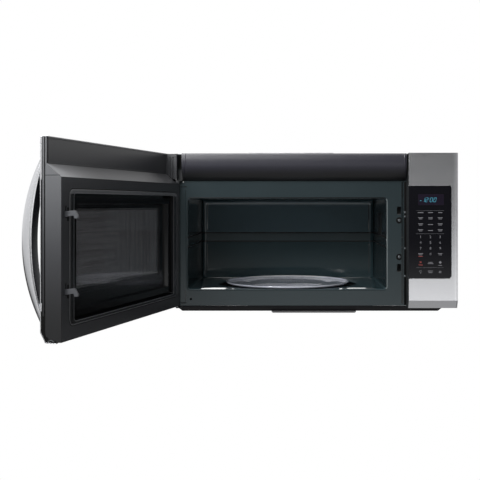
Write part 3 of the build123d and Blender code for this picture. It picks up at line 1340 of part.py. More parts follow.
def fan_bracket():
    """Sheet bulkhead across the rear of the component bay, with the fan's opening and the motor's strap."""
    plate = slab(
        OVEN_X1 + SHEET, BODY_HALF - SHEET, FAN_PLATE_Y, FAN_PLATE_Y + SHEET, FAN_Z - FAN_BULKHEAD,
        FAN_Z + FAN_BULKHEAD,
    )
    plate -= rod_y(FAN_X, FAN_PLATE_Y - SHEET, FAN_PLATE_Y + 2 * SHEET, FAN_Z, FAN_R + FAN_TIP_GAP)
    strap_y = FAN_PLATE_Y + FAN_STRAP_OUT
    low = FAN_Z - FAN_R - 2 * FAN_TIP_GAP
    plate += slab(
        FAN_X - FAN_MOTOR / 2, FAN_X + FAN_MOTOR / 2, FAN_PLATE_Y, strap_y + 2 * SHEET, low - 2 * SHEET, low
    )
    plate += slab(
        FAN_X - FAN_MOTOR / 2, FAN_X + FAN_MOTOR / 2, strap_y, strap_y + 2 * SHEET, low, FAN_Z + FAN_MOTOR / 2
    )
    return plate - rod_y(FAN_X, strap_y - SHEET, strap_y + 3 * SHEET, FAN_Z, 2 * FAN_SHAFT_R)


def fan_motor():
    """Shaded-pole motor of the cooling fan."""
    back = FAN_PLATE_Y + FAN_STRAP_OUT + 2 * SHEET
    half = FAN_MOTOR / 2
    body = slab(FAN_X - half, FAN_X + half, back, back + FAN_MOTOR_L, FAN_Z - half, FAN_Z + half)
    bore = rod_y(FAN_X, back - SHEET, back + FAN_SHAFT_IN + RUN_GAP, FAN_Z, FAN_SHAFT_R + PIN_FIT)
    return body - bore


def fan_blade():
    """Five-blade fan on its shaft."""
    back = FAN_PLATE_Y + FAN_STRAP_OUT + 2 * SHEET
    hub = rod_y(FAN_X, FAN_PLATE_Y + 2 * SHEET, FAN_PLATE_Y + FAN_STRAP_OUT - 4 * SHEET, FAN_Z, FAN_HUB_R)
    hub += rod_y(FAN_X, FAN_PLATE_Y + 2 * SHEET, back + FAN_SHAFT_IN, FAN_Z, FAN_SHAFT_R)
    reach = FAN_R - FAN_HUB_R
    blade = Rot(FAN_PITCH, 0, 0) * Box(reach, 1.5 * SHEET, FAN_CHORD)
    blade = Pos(FAN_HUB_R + reach / 2 - SHEET, 0, 0) * blade
    middle = FAN_PLATE_Y + FAN_STRAP_OUT / 2 - SHEET
    for turn in range(FAN_BLADES):
        hub += Pos(FAN_X, middle, FAN_Z) * Rot(0, 360 / FAN_BLADES * turn, 0) * blade
    return hub


DRUM_CLEAR = 2.0            # scroll's underside over the oven's roof
DRUM_FLOOR = OVEN_Z1 + SHEET
DRUM_Z = DRUM_FLOOR + DRUM_R + DRUM_CLEAR


def drum_span(side):
    """Left and right end of one blower scroll."""
    outer = EXHAUST_X + side * EXHAUST_W / 2
    inner = outer - side * DRUM_W
    return min(outer, inner), max(outer, inner)


INLET_R = 32.0
DRUM_FOOT = 30.0


def blower_scrolls():
    """Two sheet scrolls with their outlets up to the top sheet."""
    scrolls = []
    top = BODY_TOP - SHEET
    for side in (-1, 1):
        x0, x1 = drum_span(side)
        y0 = EXHAUST_Y - EXHAUST_D / 2
        y1 = EXHAUST_Y + EXHAUST_D / 2
        shell = rod_x(x0, x1, EXHAUST_Y, DRUM_Z, DRUM_R) + slab(x0, x1, y0, y1, DRUM_Z, top)
        shell += slab(x0, x1, EXHAUST_Y - DRUM_FOOT / 2, EXHAUST_Y + DRUM_FOOT / 2, DRUM_FLOOR, DRUM_Z)
        room = rod_x(x0 + SHEET, x1 - SHEET, EXHAUST_Y, DRUM_Z, DRUM_R - SHEET)
        room += slab(x0 + SHEET, x1 - SHEET, y0 + SHEET, y1 - SHEET, DRUM_Z, top + SHEET)
        scrolls.append(shell - room - rod_x(x0 - SHEET, x1 + SHEET, EXHAUST_Y, DRUM_Z, INLET_R))
    return scrolls


BLOWER_MOTOR_R = 36.0
MOTOR_END_GAP = 6.0
CRADLE_W = 50.0
WHEEL_END_GAP = 8.0
WHEEL_T = 2.0
WHEEL_HUB = 10.0
BLADE_T = 1.2
BLADE_DEEP = 8.0


def blower_motor():
    """Double-shaft motor between the scrolls, on its cradle."""
    x0 = drum_span(-1)[1]
    x1 = drum_span(1)[0]
    body = rod_x(x0 + MOTOR_END_GAP, x1 - MOTOR_END_GAP, EXHAUST_Y, DRUM_Z, BLOWER_MOTOR_R)
    body += slab(
        x0 + 2 * MOTOR_END_GAP, x1 - 2 * MOTOR_END_GAP, EXHAUST_Y - CRADLE_W / 2, EXHAUST_Y + CRADLE_W / 2,
        DRUM_FLOOR, DRUM_Z,
    )
    return body - rod_x(x0, x1, EXHAUST_Y, DRUM_Z, BLOWER_SHAFT_R + PIN_FIT)


def blower_shaft():
    """Shaft through the motor into both wheels."""
    x0 = drum_span(-1)[0] + WHEEL_END_GAP
    x1 = drum_span(1)[1] - WHEEL_END_GAP
    return rod_x(x0, x1, EXHAUST_Y, DRUM_Z, BLOWER_SHAFT_R)


def blower_wheels():
    """Two squirrel-cage wheels."""
    wheels = []
    for side in (-1, 1):
        x0, x1 = drum_span(side)
        x0 += WHEEL_END_GAP
        x1 -= WHEEL_END_GAP
        middle = (x0 + x1) / 2
        wheel = rod_x(middle - WHEEL_T / 2, middle + WHEEL_T / 2, EXHAUST_Y, DRUM_Z, WHEEL_R)
        wheel += rod_x(middle - WHEEL_HUB, middle + WHEEL_HUB, EXHAUST_Y, DRUM_Z, WHEEL_HUB)
        for end in (x0, x1 - WHEEL_T):
            rim = rod_x(end, end + WHEEL_T, EXHAUST_Y, DRUM_Z, WHEEL_R)
            wheel += rim - rod_x(x0 - SHEET, x1 + SHEET, EXHAUST_Y, DRUM_Z, WHEEL_R - BLADE_DEEP - SHEET)
        blade = slab(x0, x1, -BLADE_T / 2, BLADE_T / 2, WHEEL_R - BLADE_DEEP, WHEEL_R - SHEET)
        for turn in range(BLADES):
            wheel += Pos(0, EXHAUST_Y, DRUM_Z) * Rot(360 / BLADES * turn, 0, 0) * blade
        wheels.append(wheel - rod_x(x0 - SHEET, x1 + SHEET, EXHAUST_Y, DRUM_Z, BLOWER_SHAFT_R))
    return wheels


COLLAR_FLANGE = 14.0
DAMPER_T = 1.2
DAMPER_PIN_R = 1.5
DAMPER_LIFT = 6.0
DAMPER_INSET = 10.0         # pin from the collar's rear side
DAMPER_CLEAR = 1.0          # flap's edges to the collar


def exhaust_adapter():
    """Sheet collar on the top for a rectangular duct."""
    x0, x1 = EXHAUST_X - EXHAUST_W / 2, EXHAUST_X + EXHAUST_W / 2
    y0, y1 = EXHAUST_Y - EXHAUST_D / 2, EXHAUST_Y + EXHAUST_D / 2
    reach = COLLAR_FLANGE
    head = BODY_TOP + EXHAUST_RISE
    collar = slab(x0, x1, y0, y1, BODY_TOP, head)
    collar += slab(x0 - reach, x1 + reach, y0 - reach, y1 + reach, BODY_TOP, BODY_TOP + SHEET)
    collar -= slab(x0 + SHEET, x1 - SHEET, y0 + SHEET, y1 - SHEET, BODY_TOP - SHEET, head + SHEET)
    return collar - rod_x(x0 - SHEET, x1 + SHEET, *damper_axis(), DAMPER_PIN_R + PIN_FIT)


def damper_axis():
    """Depth and height of the damper's pin."""
    return EXHAUST_Y + EXHAUST_D / 2 - DAMPER_INSET, BODY_TOP + DAMPER_LIFT


def damper_flap():
    """Back-draught flap with its wire pin crimped in the rolled edge."""
    y, z = damper_axis()
    x0 = EXHAUST_X - EXHAUST_W / 2 + SHEET + DAMPER_CLEAR
    x1 = EXHAUST_X + EXHAUST_W / 2 - SHEET - DAMPER_CLEAR
    y0 = EXHAUST_Y - EXHAUST_D / 2 + SHEET + DAMPER_CLEAR
    flap = slab(x0, x1, y0, y, z - DAMPER_T / 2, z + DAMPER_T / 2)
    flap += rod_x(x0, x1, y, z, DAMPER_PIN_R + SHEET)
    return flap + rod_x(EXHAUST_X - EXHAUST_W / 2, EXHAUST_X + EXHAUST_W / 2, y, z, DAMPER_PIN_R)


# ---- write every node ---------------------------------------------------------------------
def main():
    os.makedirs("parts", exist_ok=True)
    keep("outer_wrap", outer_wrap())
    keep("cord_bushing", cord_bushing())
    keep("back_plate", back_plate())
    keep("base_pan", base_pan())
    keep("lamp_cover", lamp_cover())
    keep("cooktop_lamps", *cooktop_lamps())
    for index, side in enumerate(("left", "right")):
        keep(f"grease_filter_frame_{side}", filter_frame(index))
        keep(f"grease_filter_mesh_{side}", filter_mesh(index))
    keep("cavity_liner", cavity_liner())
    keep("waveguide_cover", waveguide_cover())
    keep("waveguide", waveguide())
    keep("magnetron", magnetron())
    keep("oven_lamp", oven_lamp())
    keep("turntable_motor", turntable_motor())
    keep("coupler", coupler())
    keep("glass_tray", glass_tray())
    keep("roller_ring", roller_ring())
    for turn in range(ROLLER_COUNT):
        keep(f"roller_{turn + 1}", roller(turn))
    keep("front_plate", front_plate())
    keep("latch_screws", *latch_screws())
    keep("air_deflector", air_deflector())
    keep("top_grille", top_grille())
    keep("charcoal_filter", charcoal_filter())
    keep("hinge_brackets", hinge_bracket_upper(), hinge_bracket_lower())
    keep("hinge_pins", *hinge_pins())
    keep("control_fascia", control_fascia())
    keep("control_glass", panel_glass())
    keep("display_window", display_window())
    keep("control_housing", control_housing())
    keep("keypad_membrane", keypad_membrane())
    keep("control_board", control_board())
    keep("latch_board", latch_board())
    keep("door_switches", *door_switches())
    keep("component_deck", component_deck())
    keep("hv_transformer", transformer())
    keep("hv_capacitor", capacitor(), diode())
    keep("noise_filter_board", noise_board())
    keep("fan_bracket", fan_bracket())
    keep("fan_motor", fan_motor())
    keep("fan_blade", fan_blade())
    keep("blower_scrolls", *blower_scrolls())
    keep("blower_motor", blower_motor())
    keep("blower_rotor", *blower_wheels(), blower_shaft())
    keep("exhaust_adapter", exhaust_adapter())
    keep("damper_flap", damper_flap())
    keep_door("door_skin", door_skin())
    keep_door("door_glass", door_glass())
    keep_door("door_frame", door_frame() + key_guide())
    keep_door("hinge_bushes", *hinge_bushes())
    keep_door("choke_cover", choke_cover())
    keep_door("choke_panel", choke_panel())
    keep_door("perforated_screen", perforated_screen())
    keep_door("inner_window", inner_window())
    keep_door("door_key", door_key())
    keep_door("key_spring", key_spring())
    keep_door("handle", handle())


main()
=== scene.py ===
import bmesh
import bpy
import math
from mathutils import Matrix, Vector


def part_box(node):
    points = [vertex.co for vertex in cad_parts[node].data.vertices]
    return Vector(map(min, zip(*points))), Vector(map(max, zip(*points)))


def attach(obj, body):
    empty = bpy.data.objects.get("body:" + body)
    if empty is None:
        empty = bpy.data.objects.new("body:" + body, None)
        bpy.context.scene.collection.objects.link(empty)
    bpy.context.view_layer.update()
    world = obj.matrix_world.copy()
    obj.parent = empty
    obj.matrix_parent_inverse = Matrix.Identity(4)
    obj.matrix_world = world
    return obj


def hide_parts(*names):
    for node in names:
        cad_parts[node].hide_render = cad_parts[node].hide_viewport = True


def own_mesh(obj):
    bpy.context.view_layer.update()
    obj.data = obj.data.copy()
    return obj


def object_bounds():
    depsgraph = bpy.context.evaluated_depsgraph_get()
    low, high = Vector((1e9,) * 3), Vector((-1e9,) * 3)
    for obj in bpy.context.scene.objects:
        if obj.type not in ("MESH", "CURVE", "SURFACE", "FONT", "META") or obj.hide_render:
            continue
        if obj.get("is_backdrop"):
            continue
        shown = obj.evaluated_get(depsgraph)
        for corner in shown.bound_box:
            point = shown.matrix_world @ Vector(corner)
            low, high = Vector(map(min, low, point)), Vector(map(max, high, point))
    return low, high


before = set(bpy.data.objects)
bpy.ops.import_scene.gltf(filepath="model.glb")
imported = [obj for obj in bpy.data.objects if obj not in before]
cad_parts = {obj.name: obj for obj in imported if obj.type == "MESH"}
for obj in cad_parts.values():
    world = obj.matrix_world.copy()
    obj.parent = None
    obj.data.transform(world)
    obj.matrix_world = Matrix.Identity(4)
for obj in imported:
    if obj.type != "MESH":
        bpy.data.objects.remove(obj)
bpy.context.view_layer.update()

# ---- view and studio ---------------------------------------------------------------------------
# A pale floor well below the oven, a white surround, and soft light from above, the left and
# the front. Glossy faces see a dim studio in front of them and a light wall behind the oven.
EYE_POINT = (-0.0570, -2.6365, 0.2913)
LENS = 62.28
SHIFT_X, SHIFT_Y = -0.1117, -0.0746
FLOOR_Z = -1.25
FLOOR_R = 4.0
GLOSS_FLOOR = 0.36
WHITE = (1, 1, 1, 1)

camera = bpy.data.objects.new("view", bpy.data.cameras.new("view"))
bpy.context.scene.collection.objects.link(camera)
camera.location = EYE_POINT
camera.rotation_euler = (math.radians(90), 0, 0)
camera.data.lens = LENS
camera.data.sensor_width = 36.0
camera.data.shift_x = SHIFT_X
camera.data.shift_y = SHIFT_Y
bpy.context.scene.camera = camera
bpy.context.scene.view_settings.view_transform = "Standard"


class Wire:
    """A socket of a shader tree: sums on it add Math nodes, and node() adds any other kind."""

    def __init__(self, tree, socket=None):
        self.tree = tree
        self.socket = socket

    def node(self, kind, settings=None, sockets=None, out=0):
        made = self.tree.nodes.new("ShaderNode" + kind)
        for name, value in (settings or {}).items():
            setattr(made, name, value)
        for name, value in (sockets or {}).items():
            if isinstance(value, Wire):
                self.tree.links.new(value.socket, made.inputs[name])
            else:
                made.inputs[name].default_value = value
        return Wire(self.tree, made.outputs[out])

    def sum(self, operation, first, second=0.0):
        return self.node("Math", {"operation": operation}, {0: first, 1: second})

    def __add__(self, other):
        return self.sum("ADD", self, other)

    __radd__ = __add__

    def __sub__(self, other):
        return self.sum("SUBTRACT", self, other)

    def __rsub__(self, other):
        return self.sum("SUBTRACT", other, self)

    def __mul__(self, other):
        return self.sum("MULTIPLY", self, other)

    __rmul__ = __mul__

    def __truediv__(self, other):
        return self.sum("DIVIDE", self, other)

    def __gt__(self, other):
        return self.sum("GREATER_THAN", self, other)

    def __lt__(self, other):
        return self.sum("LESS_THAN", self, other)

    def larger(self, other):
        return self.sum("MAXIMUM", self, other)

    def folded(self, pitch):
        """Distance from the nearest whole multiple of pitch."""
        return self.sum("PINGPONG", self + pitch * 400, pitch / 2)

    def span(self, low, high):
        """0 at low, 1 at high, and a smooth step between."""
        settings = {"interpolation_type": "SMOOTHSTEP"}
        return self.node("MapRange", settings, {"Value": self, "From Min": low, "From Max": high})

    def between(self, first, second):
        """Two colours mixed, with this value as the mask."""
        first, second = [tone if isinstance(tone, Wire) else (*tone, 1) for tone in (first, second)]
        return self.node("Mix", {"data_type": "RGBA"}, {0: self, 6: first, 7: second}, out=2)

    def parts(self):
        split = self.node("SeparateXYZ", {}, {0: self})
        return [Wire(self.tree, socket) for socket in split.socket.node.outputs]


def ray_masks(wire):
    """1 for a ray that comes from the camera, off a glossy face, or through glass."""
    kinds = wire.node("LightPath").socket.node.outputs
    return [Wire(wire.tree, kinds["Is " + kind + " Ray"]) for kind in ("Camera", "Glossy", "Transmission")]


surround = bpy.data.worlds.new("surround")
surround.use_nodes = True
bpy.context.scene.world = surround
sky = Wire(surround.node_tree)
across, away, up = sky.node("TexCoord", out="Generated").parts()
table = up.span(-0.04, -0.13) * (1 - up.span(-0.20, -0.34)) * (1 - away.span(-0.9, -0.75))
panels = across.span(-0.36, -0.62) * up.span(-0.32, 0.05) + 0.95 * across.span(0.34, 0.56)
studio = 0.05 + 1.35 * table + 0.76 * panels + 0.3 * up.span(0.5, 0.8)
behind = away.span(0.05, 0.25)
seen = 0.85 * behind * up.span(-0.12, 0.0) + (1 - behind) * studio
is_camera, is_glossy, is_through = ray_masks(sky)
fill = 0.19 + 0.26 * across.span(0.35, -0.45)
level = fill * (1 - is_camera) * (1 - is_glossy) * (1 - is_through)
level = level + is_glossy * seen + is_through * (1 - is_glossy)
light = surround.node_tree.nodes["Background"]
surround.node_tree.links.new(is_camera.larger(level).socket, light.inputs["Strength"])
light.inputs["Color"].default_value = WHITE

floor_mesh = bpy.data.meshes.new("studio_floor")
floor = bpy.data.objects.new("studio_floor", floor_mesh)
bpy.context.scene.collection.objects.link(floor)
sheet = bmesh.new()
bmesh.ops.create_circle(sheet, cap_ends=True, segments=64, radius=FLOOR_R)
bmesh.ops.translate(sheet, verts=sheet.verts, vec=(0, 0, FLOOR_Z))
sheet.to_mesh(floor_mesh)
sheet.free()
floor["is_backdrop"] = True
pale = bpy.data.materials.new("pale floor")
pale.use_nodes = True
pale.node_tree.nodes.remove(pale.node_tree.nodes["Principled BSDF"])
under = Wire(pale.node_tree)
is_camera, is_glossy, is_through = ray_masks(under)
straight = is_camera.larger(is_through)
matte = under.node("BsdfDiffuse", {}, {"Color": (0.86, 0.86, 0.86, 1)})
dim = under.node("Emission", {}, {"Color": WHITE, "Strength": GLOSS_FLOOR})
clear = under.node("Emission", {}, {"Color": WHITE, "Strength": 1.0})
glow = under.node("MixShader", {}, {0: straight, 1: dim, 2: clear})
both = under.node("MixShader", {}, {0: straight.larger(is_glossy), 1: matte, 2: glow})
pale.node_tree.links.new(both.socket, pale.node_tree.nodes["Material Output"].inputs["Surface"])
floor_mesh.materials.append(pale)


def softbox(name, place, aim, size, watts):
    """A rectangular soft light at place, turned to face aim."""
    lamp = bpy.data.lights.new(name, "AREA")
    lamp.shape = "RECTANGLE"
    lamp.size, lamp.size_y = size
    lamp.energy = watts
    holder = bpy.data.objects.new(name, lamp)
    holder.location = place
    holder.rotation_euler = (Vector(aim) - Vector(place)).to_track_quat("-Z", "Y").to_euler()
    bpy.context.scene.collection.objects.link(holder)


softbox("over_box", (-0.75, -1.85, 1.60), (-0.1, -0.4, 0.2), (1.1, 0.6), 20)
softbox("left_box", (-1.50, -2.00, 0.95), (-0.45, -0.8, 0.35), (0.6, 0.5), 5)
softbox("front_strip", (-0.60, -3.10, 1.20), (-0.1, -0.4, 0.35), (1.4, 0.30), 15.8)
softbox("right_box", (0.24, -1.85, 1.60), (0.1, -0.4, 0.1), (0.45, 0.30), 3)
softbox("near_left", (-0.82, -1.30, 0.80), (-0.5, -0.9, 0.28), (0.25, 0.25), 9)


# ---- outer wrap --------------------------------------------------------------------------------
# The cabinet's top and sides are one folded steel sheet, powder coated in black and screwed to
# the back plate and the base pan. The coat has a fine orange peel.
def finish(name, steady):
    """A new finish, with its surface's own coordinates: what is the same all over goes on its sockets."""
    paint = bpy.data.materials.new(name)
    paint.use_nodes = True
    shader = paint.node_tree.nodes["Principled BSDF"]
    for socket, value in steady.items():
        shader.inputs[socket].default_value = value
    return paint, Wire(paint.node_tree).node("TexCoord", out="Object")


def feed(paint, socket, wire):
    """What changes over the surface goes to one socket of the finish's shader."""
    target = paint.node_tree.nodes["Principled BSDF"].inputs[socket]
    paint.node_tree.links.new(wire.socket, target)


def cloud(place, scale, stretch=(1, 1, 1), detail=3.0, rough=0.5):
    """Soft noise from 0 to 1, about scale cells to the metre, drawn out along an axis."""
    drawn = place.node("Mapping", {}, {"Vector": place, "Scale": stretch})
    sockets = {"Vector": drawn, "Scale": scale, "Detail": detail, "Roughness": rough}
    return place.node("TexNoise", {}, sockets)


def relief(paint, height, depth, edge=0.0):
    """Height from 0 to 1 as a bump depth metres deep, over edges rounded by edge metres."""
    sockets = {"Height": height, "Distance": depth, "Strength": 1.0}
    if edge:
        sockets["Normal"] = height.node("Bevel", {"samples": 4}, {"Radius": edge})
    feed(paint, "Normal", height.node("Bump", {}, sockets))


def mottled(name, low, high, scale, steady=None, rough=None, grain=None):
    """A finish whose tone drifts from low to high in patches, scale of them to the metre.

    rough: the least roughness, how much more there is at most, and the scale of its patches.
    grain: the scale of the relief, its depth, how far edges are rounded, and its detail.
    """
    paint, place = finish(name, steady or {})
    tone = cloud(place, scale).between(low, high)
    feed(paint, "Base Color", tone)
    if rough:
        least, more, patches = rough
        feed(paint, "Roughness", least + more * cloud(place, patches))
    if grain:
        fine, depth, edge, detail = grain
        relief(paint, cloud(place, fine, detail=detail), depth, edge)
    return paint, place, tone


def coat(paint, *nodes):
    """Put a finish on CAD nodes as they are."""
    for node in nodes:
        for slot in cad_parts[node].material_slots:
            slot.material = paint


ORANGE_PEEL = (900, 0.00012, 0.0008, 2.0)
black_coat = mottled("black powder coat", (0.010, 0.011, 0.012), (0.020, 0.021, 0.023), 9,
                     {"Specular IOR Level": 0.28}, (0.40, 0.12, 9), ORANGE_PEEL)[0]
coat(black_coat, "outer_wrap")

# ---- base pan ----------------------------------------------------------------------------------
# The underside is a bevelled tray of the same sheet, in a duller and darker coat.
pan_coat = mottled("pan black", (0.010, 0.010, 0.011), (0.015, 0.015, 0.017), 12,
                   {"Specular IOR Level": 0.12}, (0.5, 0.1, 30), ORANGE_PEEL)[0]
coat(pan_coat, "base_pan")

# ---- back plate, deck and exhaust adapter ------------------------------------------------------
# Galvanised steel, left bare because it faces the wall or lies inside: the zinc shows its
# crystals. The adapter over the duct opening is folded from the same sheet.
zinc, place = finish("galvanised steel", {"Metallic": 1.0})
crystal = place.node("TexVoronoi", {}, {"Vector": place, "Scale": 95.0}, out="Color")
shade, gloss = crystal.parts()[:2]
feed(zinc, "Base Color", shade.between((0.40, 0.41, 0.42), (0.62, 0.63, 0.64)))
feed(zinc, "Roughness", 0.30 + 0.22 * gloss + 0.08 * cloud(place, 40))
relief(zinc, cloud(place, 260), 0.00006, edge=0.0005)
coat(zinc, "back_plate", "exhaust_adapter", "fan_bracket", "component_deck")

# ---- cord bushing ------------------------------------------------------------------------------
# A snap-in bushing of smoked nylon in the top of the wrap, where the lead goes up into the
# cupboard.
nylon = mottled("smoked nylon", (0.03, 0.03, 0.03), (0.05, 0.05, 0.05), 60,
                {"Roughness": 0.42, "Subsurface Weight": 0.05}, grain=(1500, 0.00005, 0.0004, 3.0))[0]
coat(nylon, "cord_bushing")

# ---- cooktop lamps and their cover -------------------------------------------------------------
# A frosted polycarbonate lens under the middle of the pan, with a prism pattern moulded inside,
# held by two screws. Two lamp modules on their boards stand behind it.
PRISM = 0.004
lens, place = mottled("prism lens", (0.10, 0.10, 0.105), (0.16, 0.16, 0.165), 30,
                      {"Roughness": 0.3, "IOR": 1.58, "Transmission Weight": 0.35})[:2]
x, y, z = place.parts()
relief(lens, x.folded(PRISM) * y.folded(PRISM) / (PRISM / 2) ** 2, 0.0004, edge=0.0006)
coat(lens, "lamp_cover")

board_green, place = finish("circuit board", {"Coat Weight": 0.4, "Coat Roughness": 0.15})
track = cloud(place, 220, detail=0.0).span(0.48, 0.52)
feed(board_green, "Base Color", track.between((0.010, 0.065, 0.028), (0.022, 0.12, 0.055)))
feed(board_green, "Roughness", 0.35 + 0.2 * track)
relief(board_green, track, 0.00004, edge=0.0003)
coat(board_green, "cooktop_lamps", "control_board", "noise_filter_board", "keypad_membrane")

# ---- grease filters ----------------------------------------------------------------------------
# Each is a folded aluminium frame round two layers of expanded aluminium mesh; it tips into the
# opening of the base pan and is lowered by its finger tab.
PITCH = 0.0065
STRAND = 0.0011
LEAN = 0.6
LAYER = 0.0006
WAVE = 0.0003
HALF_T = 0.0004

dull_aluminium, place = finish("rolled aluminium", {"Metallic": 1.0})
rolled = cloud(place, 120, (0.05, 1, 1))
feed(dull_aluminium, "Base Color", rolled.between((0.56, 0.57, 0.58), (0.72, 0.73, 0.74)))
feed(dull_aluminium, "Roughness", 0.32 + 0.16 * rolled)
relief(dull_aluminium, rolled, 0.00005, edge=0.0005)
coat(dull_aluminium, "grease_filter_frame_left", "grease_filter_frame_right", "damper_flap")


def skin_loops(mesh, loops, closed=False, ends=False):
    """Faces from each loop of points to the next; closed joins the last to the first, ends caps both."""
    rings = [[mesh.verts.new(spot) for spot in loop] for loop in loops]
    made = []
    for near, far in zip(rings, rings[1:] + (rings[:1] if closed else [])):
        for number in range(len(near)):
            after = (number + 1) % len(near)
            made.append(mesh.faces.new((near[number], near[after], far[after], far[number])))
    if ends:
        made += [mesh.faces.new(rings[0][::-1]), mesh.faces.new(rings[-1])]
    bmesh.ops.recalc_face_normals(mesh, faces=made)
    return rings


def add_piece(name, mesh, paint, body, node=None, smooth=0):
    """Link a bmesh as a piece with its finish, on its body, in place of a CAD node or not.

    smooth shades it smoothly, but crisp where faces meet at more than that many degrees.
    """
    data = bpy.data.meshes.new(name)
    mesh.to_mesh(data)
    mesh.free()
    piece = bpy.data.objects.new(name, data)
    bpy.context.scene.collection.objects.link(piece)
    data.materials.append(paint)
    if smooth:
        data.shade_smooth()
        data.set_sharp_from_angle(angle=math.radians(smooth))
    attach(piece, body)
    if node:
        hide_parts(node)
    return piece


def expanded_mesh(low, high):
    """Diamond lattice between two corners: flat wavy strands in two layers that cross."""
    mesh = bmesh.new()
    width, depth = high.x - low.x, high.y - low.y
    middle = (low.z + high.z) / 2
    count = int((width + depth) / PITCH)
    for turn in (1, -1):
        run = Vector((turn * LEAN * depth, depth, 0))
        side = Vector((-run.y, run.x, 0)) / run.length * STRAND / 2
        for number in range(-count, count + 1):
            start = number * PITCH
            enter, leave = sorted((-start / run.x, (width - start) / run.x))
            first, last = max(enter, 0.0), min(leave, 1.0)
            if last - first < 1e-3:
                continue
            steps = max(1, int((last - first) * run.length / PITCH))
            loops = []
            for step in range(steps + 1):
                t = first + (last - first) * step / steps
                wave = WAVE if step % 2 else -WAVE
                spot = Vector((low.x + start, low.y, middle + turn * LAYER + wave)) + t * run
                lift = Vector((0, 0, HALF_T))
                loops.append([spot + s * side + h * lift for s, h in ((-1, -1), (1, -1), (1, 1), (-1, 1))])
            skin_loops(mesh, loops, ends=True)
    return mesh


bright_mesh = mottled("expanded aluminium", (0.50, 0.51, 0.52), (0.70, 0.71, 0.72), 50,
                      {"Metallic": 1.0}, (0.28, 0.2, 300))[0]
for side in ("left", "right"):
    node = "grease_filter_mesh_" + side
    lattice = expanded_mesh(*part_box(node))
    add_piece("expanded_mesh_" + side, lattice, bright_mesh, "filter_" + side, node)

# ---- oven liner --------------------------------------------------------------------------------
# The oven box is drawn from steel sheet and enamelled dark grey. Its back corners are rounded,
# a band is embossed round the back and sides, and the floor has a round recess for the turntable.
MM = 0.001
LINER = (-345.6, 196.0, -383.0, -7.0, 59.4, 307.5)
MOUTH_R = 9.0
BACK_R = 14.0
BAND = (176.4, 199.6)
BAND_STEP = 1.5
GROOVE = 1.7
GROOVE_DEEP = 2.4
RECESS = (-74.8, -195.0, 186.0, 44.4)
RECESS_SIDES = 120
EYE = 19.0
SHEET_T = 1.0


def liner_wall():
    """Side walls, ceiling and back of the oven in rings from the mouth to the back wall."""
    x0, x1, y0, y1, z0, z1 = LINER
    rings = [(0.0, y0), (0.0, y0 + 20), (0.0, y1 - BACK_R - 60), (0.0, y1 - BACK_R)]
    first_back = len(rings) + 1
    quarter = [math.radians(15 * step) for step in range(7)]
    for turn in quarter[1:]:
        rings.append((BACK_R * (1 - math.cos(turn)), y1 - BACK_R * (1 - math.sin(turn))))
    low, high = BAND
    band = [(low - 3.4, 0, 0), (low - 3.2, 0, 1), (low - 0.2, 0, 1), (low, 1, 0),
            (high, 1, 0), (high + 0.2, 0, 1), (high + 3.2, 0, 1), (high + 3.4, 0, 0)]
    mesh = bmesh.new()
    rows = []
    for number, (inset, y) in enumerate(rings):
        left, right, head = x0 + inset, x1 - inset, z1 - inset
        curl = [(MOUTH_R * (1 - math.sin(a)), MOUTH_R * (1 - math.cos(a))) for a in quarter]
        wall = [(left + into, z0 + rise, 0, 0) for into, rise in curl]
        wall += [(left, z, out, groove) for z, out, groove in band]
        wall += [(left + rise, head - into, 0, 0) for into, rise in curl]
        near = []
        mirrored = []
        for x, z, out, groove in wall:
            push = BAND_STEP * out if number else 0
            deep = GROOVE_DEEP * groove if number == len(rings) - 1 else 0
            row_y = y + deep - (push if number >= first_back else 0)
            near.append(mesh.verts.new(Vector((x + push, row_y, z)) * MM))
            mirrored.append(mesh.verts.new(Vector((left + right - x - push, row_y, z)) * MM))
        rows.append(near + mirrored[::-1])
    for near, far in zip(rows, rows[1:]):
        for number in range(len(near) - 1):
            mesh.faces.new((near[number], far[number], far[number + 1], near[number + 1]))
    last = rows[-1]
    for number in range(len(last) // 2 - 1):
        mesh.faces.new((last[number], last[-1 - number], last[-2 - number], last[number + 1]))
    return mesh, rows


def liner_floor(mesh, rows):
    """Floor round the recess, then the rolled edge, the recess wall and its dished bottom."""
    z0 = LINER[4]
    cx, cy, r, deep = RECESS
    profile = [(r, z0), (r - 1.2, z0 - 0.5), (r - 2.0, z0 - 2.0), (r - 2.2, deep + 4), (r - 4.5, deep + 0.8),
               (r - 9, deep), (r - 60, deep), (r - 64, deep + 0.7), (r - 76, deep + 0.7), (r - 80, deep),
               (34, deep), (32, deep + 1.0), (11, deep + 1.0), (9, deep + 0.6)]
    turns = [2 * math.pi * step / RECESS_SIDES for step in range(RECESS_SIDES)]
    rings = []
    for radius, z in profile:
        wide = radius + EYE * max(0.0, (radius - 120.0) / 66.0) ** 2
        spots = [Vector((cx + wide * math.cos(a), cy + radius * math.sin(a), z)) * MM for a in turns]
        rings.append([mesh.verts.new(spot) for spot in spots])
    for outer, inner in zip(rings, rings[1:]):
        for step in range(RECESS_SIDES):
            after = (step + 1) % RECESS_SIDES
            mesh.faces.new((outer[step], outer[after], inner[after], inner[step]))
    edge = [row[0] for row in rows] + [row[-1] for row in reversed(rows)]
    wires = [mesh.edges.get(pair) or mesh.edges.new(pair) for pair in zip(edge, edge[1:] + edge[:1])]
    rim = rings[0]
    wires += [mesh.edges.get(pair) for pair in zip(rim, rim[1:] + rim[:1])]
    bmesh.ops.triangle_fill(mesh, edges=wires, use_beauty=True)


